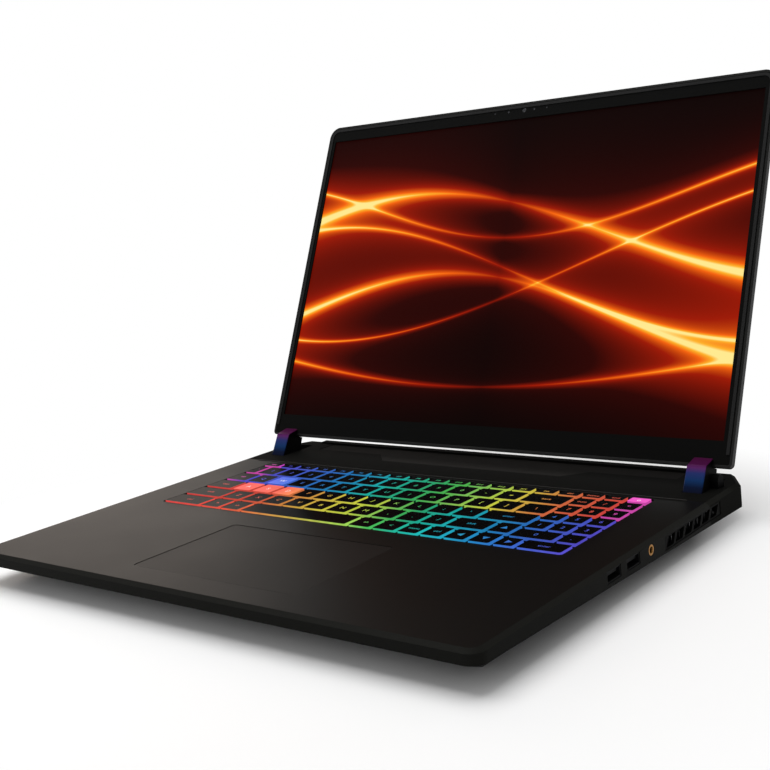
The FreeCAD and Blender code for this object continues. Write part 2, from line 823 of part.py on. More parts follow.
chip_y = board_rear - chip_to_rear
save("processor", on_board(processor_x, chip_y, processor_size + (chip_height,)))
save("graphics_chip", on_board(graphics_x, chip_y, graphics_size + (chip_height,)))
memory = [on_board(memory_x, card_y(memory_size, place), memory_size) for place in range(2)]
save("memory_modules", Part.makeCompound(memory))
storage_x = board_half - card_edge_gap - storage_size[0] / 2.0
save("storage_drive", on_board(storage_x, card_y(storage_size, 0), storage_size))
wireless_x = -board_half + card_edge_gap + wireless_size[0] / 2.0
save("wireless_card", on_board(wireless_x, card_y(wireless_size, 0), wireless_size))

# Heat pipes on a contact plate over both chips, and the fin stacks behind the side grilles
contact_front = chip_y - contact_front_margin
contact_rear = rear_pipe_y + pipe_width / 2.0
pipes = box(-contact_half_width, contact_half_width, contact_front, contact_rear, contact_low, pipe_low)
for y in (front_pipe_y, rear_pipe_y):
    pipes = pipes.fuse(mid_box(0, y, 2 * fin_inner_x, pipe_width, pipe_low, pipe_low + pipe_height))
save("heat_pipes", pipes)

fin_front = vent_front + fin_front_margin
fin_rear = vent_rear - fin_rear_margin
fin_low = vent_low - fin_drop
fin_high = vent_high - fin_headroom
fins = box(fin_inner_x, fin_outer_x, fin_front, fin_rear, fin_low, fin_low + fin_thickness)
fins = fins.fuse(box(fin_inner_x, fin_inner_x + fin_back, fin_front, fin_rear, fin_low, fin_high))
for index in range(fin_count):
    y = fin_front + index * (fin_rear - fin_front) / fin_count
    fins = fins.fuse(box(fin_inner_x, fin_outer_x, y, y + fin_thickness, fin_low, fin_high))
save("fin_stacks", both_sides([fins]))

# Fans: open housing, fixed post, and a rotor that runs on it
fan_top = sheet_bottom - fan_headroom
fan_front = fan_y - fan_housing_depth / 2.0
fan_left = fan_right - fan_housing_width
room_low = floor_top + fan_plate
room_high = fan_top - fan_plate
housing = box(fan_left, fan_right, fan_front, fan_rear, floor_top, fan_top)
room_plan = (fan_left + fan_wall, fan_right + overshoot, fan_front + fan_wall, fan_rear - fan_wall)
housing = housing.cut(box(*room_plan, room_low, room_high))
housing = housing.cut(post(fan_inlet_radius, fan_x, fan_y, room_high, fan_top + overshoot))
inlet = post(fan_inlet_radius, fan_x, fan_y, floor_top - overshoot, room_low)
inlet = inlet.cut(post(fan_hub_radius, fan_x, fan_y, floor_top - overshoot, room_low))
for index in range(fan_spokes):
    spoke = mid_box(fan_inlet_radius / 2.0, 0, fan_inlet_radius, fan_spoke_width, 0, fan_top)
    spoke.rotate(V(0, 0, 0), V(0, 0, 1), index * 360.0 / fan_spokes)
    spoke.translate(V(fan_x, fan_y, 0))
    inlet = inlet.cut(spoke)
housing = housing.cut(inlet)
rotor_low = room_low + fan_axial_gap
rotor_high = room_high - fan_axial_gap
post_top = rotor_high - fan_post_drop
housing = housing.fuse(post(fan_post_radius, fan_x, fan_y, floor_top, post_top))
save("fan_housing_right", housing)
save("fan_housing_left", mirrored(housing))

fan_radius = fan_housing_depth / 2.0 - fan_wall - fan_tip_gap
blade_start = fan_hub_radius - fan_blade_root
blade_length = fan_radius - blade_start
rotor = post(fan_hub_radius, fan_x, fan_y, rotor_low, rotor_high)
for index in range(fan_blades):
    blade_x = blade_start + blade_length / 2.0
    blade = mid_box(blade_x, 0, blade_length, fan_blade_thickness, rotor_low, rotor_high)
    blade.rotate(V(fan_hub_radius, 0, 0), V(0, 0, 1), fan_blade_sweep)
    blade.rotate(V(0, 0, 0), V(0, 0, 1), index * 360.0 / fan_blades)
    blade.translate(V(fan_x, fan_y, 0))
    rotor = rotor.fuse(blade)
bearing_radius = fan_post_radius + fan_running_clearance
bearing_top = post_top + fan_running_clearance
rotor = rotor.cut(post(bearing_radius, fan_x, fan_y, rotor_low - overshoot, bearing_top))
save("fan_rotor_right", rotor)
save("fan_rotor_left", mirrored(rotor))

# Battery and speakers rest on the bottom cover
speaker_outer_x = half - speaker_side
speaker_inner_x = speaker_outer_x - speaker_width
speaker_front = belly_front + speaker_front_inset
speaker_plan = (speaker_inner_x, speaker_outer_x, speaker_front, port_board_front - speaker_port_gap)
speaker = rounded_slab(*speaker_plan, floor_top, floor_top + speaker_height, speaker_corner_radius)
save("speakers", both_sides([speaker]))
battery_half = speaker_inner_x - battery_speaker_gap
battery_front = belly_front + battery_front_inset
battery_plan = (-battery_half, battery_half, battery_front, board_front - battery_board_gap)
save("battery", box(*battery_plan, floor_top, tray_bottom - battery_headroom))

# Hinge bracket and pin stand in the base
bracket_end = bracket_outer_x - loose_clearance
bracket = tube_x(eye_radius, pocket_outer_x, bracket_end, hinge_y, hinge_z)
eye_front = hinge_y - eye_radius
eye_rear = hinge_y + eye_radius
bracket = bracket.fuse(box(pocket_outer_x, bracket_end, eye_front, eye_rear, bracket_floor, hinge_z))
bracket = bracket.cut(tube_x(pin_radius, pocket_outer_x - overshoot, bracket_outer_x, hinge_y, hinge_z))
save("hinge_brackets", both_sides([bracket]))
pin_end_x = hinge_cover_inner_x + pin_setback
save("hinge_pins", both_sides([tube_x(pin_radius, pin_end_x, bracket_end, hinge_y, hinge_z)]))
arm_inner_x = hinge_cover_inner_x + arm_setback
arm_outer_x = arm_inner_x + arm_width
washer_radius = eye_radius - washer_gap
washers = []
for index in range(washer_count):
    start = arm_outer_x + washer_gap + index * (washer_thickness + washer_gap)
    washer = tube_x(washer_radius, start, start + washer_thickness, hinge_y, hinge_z)
    washers.append(washer.cut(tube_x(pin_radius, arm_outer_x, hinge_cover_outer_x, hinge_y, hinge_z)))
save("hinge_washers", both_sides(washers))

# Lid pieces, modelled upright about the hinge line and then leaned back
bevel_start = -lid_thickness + lid_edge_depth
back_cover = lid_slab(0.0, bevel_start, 0.0)
back_cover = back_cover.fuse(loft(lid_outline(0.0, bevel_start), lid_outline(lid_edge_inset, -lid_thickness)))
arm_back = -lid_thickness + lid_skin
arm_front = arm_back + arm_thickness
back_cover = back_cover.cut(lid_slab(lid_rim, arm_back, overshoot))
slot_sides = (arm_inner_x - arm_slot_clearance, arm_outer_x + arm_slot_clearance)
arm_slot = lid_box(*slot_sides, -overshoot, lid_rim + loose_clearance, arm_back, arm_front + loose_clearance)
back_cover = back_cover.cut(arm_slot).cut(mirrored(arm_slot))
save("lid_back_cover", open_lid(back_cover))

window = lid_box(-screen_half, screen_half, bezel_bottom, screen_top, -bezel_thickness - overshoot, overshoot)
panel_top = screen_top + panel_border_top
rim_inside = lid_height - lid_rim
camera_v = (panel_top + rim_inside) / 2.0
into_lid = V(0, 1, 0)
lens_hole = Part.makeCylinder(lens_radius, bezel_thickness, lid_point(0, camera_v, 0), into_lid)
bezel = lid_slab(lid_rim, -bezel_thickness, 0.0).cut(window).cut(lens_hole)
save("lid_bezel", open_lid(bezel))

panel_half = screen_half + panel_border_side
panel_low = bezel_bottom - panel_border_bottom
panel_back = -bezel_thickness - panel_thickness
panel = lid_box(-panel_half, panel_half, panel_low, panel_top, panel_back, -bezel_thickness)
save("display_panel", open_lid(panel))

camera_low = panel_top + loose_clearance
camera_high = rim_inside - loose_clearance
camera_back = -bezel_thickness - camera_thickness
camera_sides = (-camera_half_width, camera_half_width)
camera = lid_box(*camera_sides, camera_low, camera_high, camera_back, -bezel_thickness)
barrel_radius = lens_radius - lens_clearance
barrel_length = bezel_thickness - lens_sink + camera_thickness / 2.0
barrel = Part.makeCylinder(barrel_radius, barrel_length, lid_point(0, camera_v, -lens_sink), into_lid)
save("camera_module", open_lid(camera.fuse(barrel)))

gasket_reach = gasket_height + overshoot
gasket = lid_slab(gasket_inset, 0.0, gasket_height)
gasket = gasket.cut(lid_slab(gasket_inset + gasket_width, -overshoot, gasket_reach))
gasket = gasket.cut(lid_box(-lid_width, lid_width, -overshoot, gasket_start, -overshoot, gasket_reach))
save("lid_gasket", open_lid(gasket))

cover_length = V(hinge_cover_width, 0, 0)
cover = prism([lid_point(hinge_cover_inner_x, v, w) for v, w in cover_section], cover_length)
cavity_end = arm_outer_x + washer_gap + washer_count * (washer_thickness + washer_gap)
cavity = tube_x(eye_radius + loose_clearance, arm_inner_x - loose_clearance, cavity_end, 0, 0)
pin_way_end = hinge_cover_outer_x + overshoot
pin_way = tube_x(pin_radius + loose_clearance, pin_end_x - loose_clearance, pin_way_end, 0, 0)
strap_back = arm_back - loose_clearance
strap_front = arm_front + loose_clearance
strap_way = lid_box(*slot_sides, -hinge_below_edge, overshoot, strap_back, strap_front)
cover = open_lid(cover.cut(cavity).cut(pin_way).cut(strap_way))
save("hinge_cover_right", cover)
save("hinge_cover_left", mirrored(cover))

strap = lid_box(arm_inner_x, arm_outer_x, -hinge_below_edge, arm_plate_start, arm_back, arm_front)
arm = tube_x(eye_radius, arm_inner_x, arm_outer_x, 0, 0).fuse(strap)
plate_end = arm_plate_start + arm_plate_length
plate_inner_x = arm_inner_x - arm_plate_inner
plate_outer_x = arm_outer_x + arm_plate_outer
arm = arm.fuse(lid_box(plate_inner_x, plate_outer_x, arm_plate_start, plate_end, arm_back, arm_front))
eye_bore = tube_x(pin_radius + pin_running_clearance, hinge_cover_inner_x, hinge_cover_outer_x, 0, 0)
save("hinge_arms", both_sides([open_lid(arm.cut(eye_bore))]))
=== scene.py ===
import bmesh
import bpy
import colorsys
import json
import math
from mathutils import Matrix, Vector


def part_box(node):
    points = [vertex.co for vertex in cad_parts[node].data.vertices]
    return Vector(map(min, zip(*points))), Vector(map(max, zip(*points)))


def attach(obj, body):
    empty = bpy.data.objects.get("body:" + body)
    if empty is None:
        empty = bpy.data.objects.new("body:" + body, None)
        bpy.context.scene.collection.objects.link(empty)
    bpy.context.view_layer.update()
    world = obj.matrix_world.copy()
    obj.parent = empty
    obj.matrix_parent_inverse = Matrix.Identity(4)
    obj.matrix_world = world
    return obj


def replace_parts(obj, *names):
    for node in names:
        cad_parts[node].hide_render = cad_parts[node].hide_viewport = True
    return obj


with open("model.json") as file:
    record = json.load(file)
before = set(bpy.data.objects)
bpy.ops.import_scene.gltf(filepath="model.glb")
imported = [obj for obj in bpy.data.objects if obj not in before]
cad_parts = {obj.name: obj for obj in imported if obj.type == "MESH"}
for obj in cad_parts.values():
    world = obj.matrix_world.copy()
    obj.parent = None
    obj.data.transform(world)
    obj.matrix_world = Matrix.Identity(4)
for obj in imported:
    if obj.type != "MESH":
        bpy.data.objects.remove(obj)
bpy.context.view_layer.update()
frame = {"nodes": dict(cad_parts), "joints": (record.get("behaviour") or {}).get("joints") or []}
nodes = frame["nodes"]
MM = 0.001

# The casing's deck and side walls are one moulding with a fine matt sandblasted coat over dark resin.
# It is screwed to the bottom cover from below, and its upper edge is cut to a narrow bevel. Its walls are
# painted paler as painted light, and the bevel palest as a painted highlight.
DECK_COLOUR = (0.0043, 0.0043, 0.0038)
CASING_GRAIN = {"grain": 2600.0, "depth": 0.03}
GRAIN_DETAIL = 4.0
GRAIN_SPREAD = (0.25, 0.75)
GRAIN_STRENGTH = 0.35
SMUDGE_SCALE = 14.0
SMUDGE_DETAIL = 3.0
EDGE_SAMPLES = 4


def new_material(name):
    """A new material with nodes: the material, its node tree and its main shader."""
    material = bpy.data.materials.new(name)
    material.use_nodes = True
    tree = material.node_tree
    return material, tree, tree.nodes["Principled BSDF"]


def set_stops(ramp, stops):
    """Gives a colour ramp its stops in rising order, each a place from 0 to 1 and a colour."""
    for index, (place, colour) in enumerate(stops):
        stop = ramp.elements[index] if index < len(ramp.elements) else ramp.elements.new(place)
        stop.position = place
        stop.color = tuple(colour) + (1.0,)


def finish(name, colour, roughness, grain=1800.0, depth=0.02, variation=0.25, metallic=0.0, smudge=0.05,
           sheen_level=0.1, edge=0.0):
    """A surface with fine grain in its relief and colour, slow changes of gloss, and eased edges."""
    material, tree, shader = new_material(name)
    shader.inputs["Metallic"].default_value = metallic
    shader.inputs["Specular IOR Level"].default_value = sheen_level
    place = tree.nodes.new("ShaderNodeTexCoord")
    fine = tree.nodes.new("ShaderNodeTexNoise")
    fine.inputs["Scale"].default_value = grain
    fine.inputs["Detail"].default_value = GRAIN_DETAIL
    slow = tree.nodes.new("ShaderNodeTexNoise")
    slow.inputs["Scale"].default_value = SMUDGE_SCALE
    slow.inputs["Detail"].default_value = SMUDGE_DETAIL
    tone = tree.nodes.new("ShaderNodeValToRGB")
    darkest = [c * (1.0 - variation) for c in colour]
    palest = [c * (1.0 + variation) for c in colour]
    set_stops(tone.color_ramp, zip(GRAIN_SPREAD, (darkest, palest)))
    gloss = tree.nodes.new("ShaderNodeMapRange")
    gloss.inputs["To Min"].default_value = roughness - smudge
    gloss.inputs["To Max"].default_value = roughness + smudge
    relief = tree.nodes.new("ShaderNodeBump")
    relief.inputs["Strength"].default_value = GRAIN_STRENGTH
    relief.inputs["Distance"].default_value = depth * MM
    link = tree.links.new
    link(place.outputs["Object"], fine.inputs["Vector"])
    link(place.outputs["Object"], slow.inputs["Vector"])
    link(fine.outputs["Fac"], tone.inputs["Fac"])
    link(fine.outputs["Fac"], relief.inputs["Height"])
    link(slow.outputs["Fac"], gloss.inputs["Value"])
    link(tone.outputs["Color"], shader.inputs["Base Color"])
    link(gloss.outputs["Result"], shader.inputs["Roughness"])
    link(relief.outputs["Normal"], shader.inputs["Normal"])
    if edge > 0.0:
        eased = tree.nodes.new("ShaderNodeBevel")
        eased.samples = EDGE_SAMPLES
        eased.inputs["Radius"].default_value = edge * MM
        link(eased.outputs["Normal"], relief.inputs["Normal"])
    return material


def coat(material, *names):
    """Gives CAD nodes that keep their own shape a better finish."""
    for name in names:
        mesh = nodes[name].data
        mesh.materials.clear()
        mesh.materials.append(material)


# Painted light: the coat's colour is raised on the upright walls, and raised more on the bevel as a painted
# highlight.
WALL_PAINTED_LIGHT = 1.8
BEVEL_PAINTED_HIGHLIGHT = 2.8
BEVEL_SLOPE = (0.45, 0.93)


def paint_edge_light(material):
    """Paints light into the coat: paler on the upright walls, and palest on the narrow bevel round the deck
    as a painted highlight.
    """
    tree = material.node_tree
    shader = tree.nodes["Principled BSDF"]
    coat_colour = tree.nodes["Color Ramp"].outputs["Color"]
    lie = tree.nodes.new("ShaderNodeNewGeometry")
    split = tree.nodes.new("ShaderNodeSeparateXYZ")
    steps = tree.nodes.new("ShaderNodeValToRGB")
    steps.color_ramp.interpolation = "CONSTANT"
    levels = [(0.0, WALL_PAINTED_LIGHT), (BEVEL_SLOPE[0], BEVEL_PAINTED_HIGHLIGHT), (BEVEL_SLOPE[1], 1.0)]
    set_stops(steps.color_ramp, [(slope, (level, level, level)) for slope, level in levels])
    paler = tree.nodes.new("ShaderNodeVectorMath")
    paler.operation = "MULTIPLY"
    link = tree.links.new
    link(lie.outputs["True Normal"], split.inputs["Vector"])
    link(split.outputs["Z"], steps.inputs["Fac"])
    link(coat_colour, paler.inputs[0])
    link(steps.outputs["Color"], paler.inputs[1])
    link(paler.outputs["Vector"], shader.inputs["Base Color"])


LEDGE_Y = 44.3
REAR_ROUGHNESS = 0.85
REAR_BLEND = 0.4


def coarse_rear(material):
    """Makes the coat coarser behind the ledge, where the deck runs back under the lid."""
    tree = material.node_tree
    shader = tree.nodes["Principled BSDF"]
    place = tree.nodes["Texture Coordinate"].outputs["Object"]
    gloss = tree.nodes["Map Range"].outputs["Result"]
    split = tree.nodes.new("ShaderNodeSeparateXYZ")
    rear = tree.nodes.new("ShaderNodeMapRange")
    rear.inputs["From Min"].default_value = (LEDGE_Y - REAR_BLEND) * MM
    rear.inputs["From Max"].default_value = (LEDGE_Y + REAR_BLEND) * MM
    blend = tree.nodes.new("ShaderNodeMix")
    blend.inputs["B"].default_value = REAR_ROUGHNESS
    link = tree.links.new
    link(place, split.inputs["Vector"])
    link(split.outputs["Y"], rear.inputs["Value"])
    link(rear.outputs["Result"], blend.inputs["Factor"])
    link(gloss, blend.inputs["A"])
    link(blend.outputs["Result"], shader.inputs["Roughness"])


deck_finish = finish("deck_coat", DECK_COLOUR, roughness=0.38, edge=0.35, sheen_level=0.015, **CASING_GRAIN)
# The deck coat gets painted light on its walls and a painted highlight on its bevel.
paint_edge_light(deck_finish)
coarse_rear(deck_finish)
coat(deck_finish, "top_case")

# A low ledge crosses the deck behind the keys, a plate lies in the sunken strip behind it, and a lip closes
# the rear edge below the lid. Ledge and lip are moulded with the deck, and the plate is glued in the strip.
LEDGE_HALF = 176.0
LEDGE_WIDTH = 0.9
LEDGE_RISE = 0.4
LIP_HALF = 163.0
LIP_DEPTH = 6.0
LIP_RISE = 1.0
STRIP_HALF = 149.7
SLANT_HALVES = (89.0, 75.0)
STRIP_ENDS_FROM_HINGE = 8.65
STRIP_MIDDLE_FROM_HINGE = -6.35
STRIP_EDGE = 7.3
STRIP_DEPTH = 0.6
PLATE_RISE = 0.35
TRIM_EDGE = 0.15
TRIM_STEPS = 2
SEATING = 0.05
ROUND_LIMIT = math.radians(35.0)


def new_piece(name, bm, body, materials, rounded=False):
    """Makes a finished mesh object with the given materials, riding on a body of the frame."""
    mesh = bpy.data.meshes.new(name)
    bm.to_mesh(mesh)
    bm.free()
    for material in materials:
        mesh.materials.append(material)
    if rounded:
        mesh.shade_smooth()
        mesh.set_sharp_from_angle(angle=ROUND_LIMIT)
    piece = bpy.data.objects.new(name, mesh)
    bpy.context.scene.collection.objects.link(piece)
    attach(piece, body)
    return piece


def drawn_out(outline, shift):
    """A solid made by drawing a flat outline out along a shift."""
    bm = bmesh.new()
    face = bm.faces.new([bm.verts.new(point) for point in outline])
    grown = bmesh.ops.extrude_face_region(bm, geom=[face])["geom"]
    moved = [item for item in grown if isinstance(item, bmesh.types.BMVert)]
    bmesh.ops.translate(bm, vec=shift, verts=moved)
    bmesh.ops.recalc_face_normals(bm, faces=bm.faces)
    return bm


def round_edges(bm, edges, radius, steps):
    """Rounds some edges of a mesh to a radius, in a few steps."""
    bmesh.ops.bevel(bm, geom=edges, offset=radius, offset_type="OFFSET", segments=steps,
                    profile=0.5, affect="EDGES", material=-1)


def moulding(name, outline, seat, rise, material):
    """A low form with eased upper edges, from its outline, its seat over the deck and its rise."""
    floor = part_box("top_case")[1].z + (seat - SEATING) * MM
    bm = drawn_out([(x * MM, y * MM, floor) for x, y in outline], (0, 0, (rise + SEATING) * MM))
    upper = [e for e in bm.edges if min(v.co.z for v in e.verts) > floor + rise / 2.0 * MM]
    round_edges(bm, upper, TRIM_EDGE * MM, TRIM_STEPS)
    new_piece(name, bm, "base", [material])


def bar_outline(half, front, depth):
    """The corners of a straight bar across the deck."""
    return [(-half, front), (half, front), (half, front + depth), (-half, front + depth)]


# The ledge's coat is several times paler than the deck's: a painted highlight that stands in for light
# caught along the ledge.
ledge_highlight_finish = finish("ledge_painted_highlight", (0.026, 0.025, 0.024), roughness=0.6, sheen_level=0.03, **CASING_GRAIN)
ledge_outline = bar_outline(LEDGE_HALF, LEDGE_Y - LEDGE_WIDTH / 2.0, LEDGE_WIDTH)
moulding("deck_ledge", ledge_outline, 0.0, LEDGE_RISE, ledge_highlight_finish)
deck_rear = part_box("top_case")[1].y / MM
lip_outline = bar_outline(LIP_HALF, deck_rear - LIP_DEPTH - TRIM_EDGE, LIP_DEPTH)
moulding("rear_lip", lip_outline, 0.0, LIP_RISE, deck_finish)
lid_joint = [joint for joint in frame["joints"] if joint["name"] == "lid_hinge"][0]
hinge_y = lid_joint["pos_m"][1] / MM
ends_front = hinge_y + STRIP_ENDS_FROM_HINGE
middle_front = hinge_y + STRIP_MIDDLE_FROM_HINGE
strip_front = list(zip((STRIP_HALF,) + SLANT_HALVES, (ends_front, ends_front, middle_front)))
strip_outline = [(-x, y) for x, y in strip_front] + strip_front[::-1]
strip_outline += [(side * STRIP_HALF, deck_rear - STRIP_EDGE) for side in (1.0, -1.0)]
strip_finish = finish("strip_coat", (0.0150, 0.0141, 0.0131), roughness=REAR_ROUGHNESS, sheen_level=0.015,
                      **CASING_GRAIN)
moulding("rear_strip_plate", strip_outline, -STRIP_DEPTH, PLATE_RISE, strip_finish)

# The bottom cover is a dish of rougher black resin that tapers in under the casing, slotted for the fans.
# Eight steel screws hold it, and the machine stands on four rubber strips glued to it.
cover_finish = finish("cover_resin", (0.005, 0.005, 0.005), roughness=0.55, grain=1500.0, depth=0.05,
                      sheen_level=0.06)
coat(cover_finish, "bottom_cover")
rubber_finish = finish("foot_rubber", (0.016, 0.016, 0.017), roughness=0.8, grain=900.0, depth=0.06)
coat(rubber_finish, "rubber_feet")
screw_finish = finish("screw_steel", (0.08, 0.08, 0.085), roughness=0.35, grain=3000.0, metallic=1.0)
coat(screw_finish, "cover_screws")

# The keyboard plate is a black pressed sheet under the caps, lit from below through the guide holes.
# The backlight sheet under it is a milky light guide.
plate_finish = finish("plate_black", (0.006, 0.006, 0.007), roughness=0.5, grain=2200.0)
coat(plate_finish, "keyboard_plate")
coat(finish("light_guide", (0.55, 0.55, 0.58), roughness=0.5, variation=0.05), "backlight_sheet")

# The keys are black painted tops on clear skirts, so each shows a coloured line along its sides.
# They slide in six rows and a number pad, and four letter keys and the power key glow all over.
CAP_CORNER = 1.1
CAP_DEPTH = 1.5
CAP_CROWN = 0.4
CAP_DISH = 0.07
CAP_LIP = 0.55
CORNER_STEPS = 3
LEGEND_SIZE = 5.2
WORD_SIZE = 3.6
LETTER_STEPS = 2
ARROW_SIZE = 2.7
LEGEND_DEPTH = 0.012
MARK_PALENESS = 0.7
FRONT_ROW_BOOST = 1.25
# The hue of the key light across the upper and the lower rows, then the depth and the level of each hue.
TOP_STOPS = [(-143.0, 0.88), (-141.0, 0.68), (-60.0, 0.56), (0.0, 0.43), (60.0, 0.20), (105.0, 0.05),
             (142.0, 0.01), (143.0, -0.12)]
LOW_STOPS = [(-158.0, 1.0), (-92.0, 1.02), (-40.0, 1.14), (0.0, 1.20), (40.0, 1.46), (105.0, 1.58),
             (158.0, 1.68)]
DEPTH_STOPS = [(0.0, 0.70), (0.18, 0.66), (0.30, 0.50), (0.48, 0.80), (0.57, 0.80), (0.66, 0.60),
               (1.0, 0.65)]
LEVEL_STOPS = [(0.0, 0.82), (0.18, 0.82), (0.42, 0.64), (0.64, 0.76), (1.0, 0.82)]
GLOW_CURVE = 2.2
RESIN_COLOUR = (0.01, 0.01, 0.01, 1.0)
RESIN_ROUGHNESS = 0.35
RESIN_SHEEN = 0.015
CLOUD_SCALE = 260.0
CLOUD_LEVELS = (0.75, 1.15)
SKIRT_LIGHT = 0.95
LIT_CAP_LIGHT = 1.5
LEGEND_LIGHT = 1.1


def along(stops, x):
    """Value at x on a line drawn through the stops."""
    for (x0, a), (x1, b) in zip(stops, stops[1:]):
        if x <= x1:
            return a + (b - a) * max(0.0, x - x0) / (x1 - x0)
    return stops[-1][1]


def glow_colour(x, upper, paleness, boost):
    """Colour of the key light at a distance across the keyboard, with some white in it for pale marks."""
    hue = along(TOP_STOPS if upper else LOW_STOPS, x / MM) % 1.0
    shade = colorsys.hsv_to_rgb(hue, along(DEPTH_STOPS, hue), along(LEVEL_STOPS, hue))
    tint = [c ** GLOW_CURVE for c in shade]
    return [(c + (1.0 - c) * paleness) * boost for c in tint] + [1.0]


def lit(name, strength):
    """Clear resin with light inside it, in the colour held by the piece's glow attribute."""
    material, tree, shader = new_material(name)
    shader.inputs["Roughness"].default_value = RESIN_ROUGHNESS
    shader.inputs["Specular IOR Level"].default_value = RESIN_SHEEN
    shader.inputs["Base Color"].default_value = RESIN_COLOUR
    shader.inputs["Emission Strength"].default_value = strength
    colour = tree.nodes.new("ShaderNodeAttribute")
    colour.attribute_name = "glow"
    place = tree.nodes.new("ShaderNodeTexCoord")
    cloud = tree.nodes.new("ShaderNodeTexNoise")
    cloud.inputs["Scale"].default_value = CLOUD_SCALE
    shade = tree.nodes.new("ShaderNodeMapRange")
    shade.inputs["To Min"].default_value = CLOUD_LEVELS[0]
    shade.inputs["To Max"].default_value = CLOUD_LEVELS[1]
    mix = tree.nodes.new("ShaderNodeVectorMath")
    mix.operation = "SCALE"
    link = tree.links.new
    link(place.outputs["Object"], cloud.inputs["Vector"])
    link(cloud.outputs["Fac"], shade.inputs["Value"])
    link(colour.outputs["Color"], mix.inputs[0])
    link(shade.outputs["Result"], mix.inputs["Scale"])
    link(mix.outputs["Vector"], shader.inputs["Emission Color"])
    return material


cap_finish = finish("cap_paint", (0.0026, 0.0025, 0.0026), roughness=0.2, grain=2400.0, depth=0.01,
                    smudge=0.03, sheen_level=0.003)
skirt_finish = lit("cap_skirt", SKIRT_LIGHT)
bright_cap_finish = lit("lit_cap", LIT_CAP_LIGHT)
legend_finish = lit("legend", LEGEND_LIGHT)


def merge(bm, part, upper, paleness=0.0, boost=1.0):
    """Adds a small mesh to a larger one and gives each corner the key light of its own place."""
    mesh = bpy.data.meshes.new("part")
    part.to_mesh(mesh)
    part.free()
    before = len(bm.faces)
    bm.from_mesh(mesh)
    bpy.data.meshes.remove(mesh)
    layer = bm.loops.layers.float_color.get("glow") or bm.loops.layers.float_color.new("glow")
    bm.faces.ensure_lookup_table()
    for face in bm.faces[before:]:
        for corner in face.loops:
            corner[layer] = glow_colour(corner.vert.co.x, upper, paleness, boost)


def block(bm, low, high):
    """Adds a box between two corners and returns its vertices."""
    made = bmesh.ops.create_cube(bm, size=1.0)["verts"]
    low, high = Vector(low), Vector(high)
    bmesh.ops.scale(bm, vec=high - low, verts=made)
    bmesh.ops.translate(bm, vec=(high + low) / 2.0, verts=made)
    return made


SIDEWAYS, BACKWARD, UPWARD = 0, 1, 2
LEAST_RUN = 0.1
FACING = 0.9


def runs_along(edge, axis):
    """Whether an edge runs some way along an axis."""
    return abs((edge.verts[0].co - edge.verts[1].co)[axis]) > LEAST_RUN * MM


def key_cap(low, high):
    """One cap: rounded in plan, clear below, painted and slightly dished on top."""
    part = bmesh.new()
    block(part, low, high)
    uprights = [e for e in part.edges if runs_along(e, UPWARD)]
    round_edges(part, uprights, CAP_CORNER * MM, CORNER_STEPS)
    top = [f for f in part.faces if f.normal.z > FACING]
    ring = bmesh.ops.inset_region(part, faces=top, thickness=CAP_LIP * MM, depth=0.0)["faces"]
    bmesh.ops.translate(part, vec=(0, 0, -CAP_DISH * MM), verts=top[0].verts)
    for face in part.faces:
        face.material_index = 0 if face in ring or face in top else 1
    return part


def legend(text, size, at):
    """Lettering as a thin solid, centred on a point of the cap's top."""
    curve = bpy.data.curves.new("legend", "FONT")
    curve.body = text
    curve.size = size * MM
    curve.align_x = "CENTER"
    curve.align_y = "CENTER"
    curve.resolution_u = LETTER_STEPS
    curve.extrude = LEGEND_DEPTH * MM
    holder = bpy.data.objects.new("legend", curve)
    mesh = bpy.data.meshes.new_from_object(holder)
    part = bmesh.new()
    part.from_mesh(mesh)
    bmesh.ops.translate(part, vec=at, verts=part.verts)
    bpy.data.objects.remove(holder)
    bpy.data.curves.remove(curve)
    bpy.data.meshes.remove(mesh)
    return part


def arrow(turn, at):
    """A small solid triangle for a direction key."""
    part = bmesh.new()
    made = bmesh.ops.create_cone(part, cap_ends=True, segments=3, radius1=ARROW_SIZE * MM,
                                 radius2=ARROW_SIZE * MM, depth=2 * LEGEND_DEPTH * MM)["verts"]
    bmesh.ops.rotate(part, verts=made, cent=(0, 0, 0), matrix=Matrix.Rotation(math.radians(turn), 3, "Z"))
    bmesh.ops.translate(part, vec=at, verts=made)
    return part


ARROWS = {"up": 0.0, "left": 90.0, "down": 180.0, "right": 270.0}
ROW_LEGENDS = {
    "function": "esc F1 F2 F3 F4 F5 F6 F7 F8 F9 F10 F11 F12 prt ins del home end o".split(),
    "number": "` 1 2 3 4 5 6 7 8 9 0 - = back".split(),
    "q": "tab Q W E R T Y U I O P [ ] \\".split(),
    "a": "caps A S D F G H J K L ; ' enter".split(),
    "z": "shift Z X C V B N M , . / shift up".split(),
    "bottom": "ctrl fn alt _ alt < menu ctrl left down".split(),
    "pad": "right enter 0 . 1 2 3 4 5 6 7 8 9 num / *".split(),
}
OWN_KEYS = {"esc": "key_escape", "o": "key_power", "W": "key_w", "A": "key_a", "S": "key_s", "D": "key_d",
            "enter": "key_enter", "_": "key_space"}
BRIGHT_KEYS = ("key_w", "key_a", "key_s", "key_d", "key_power")
TOP_TOLERANCE = 0.01
ROW_STEP = 4.0
LINE_MARGIN = 1.0
upper_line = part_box("key_a")[1].y + LINE_MARGIN * MM
front_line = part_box("key_space")[0].y + LINE_MARGIN * MM


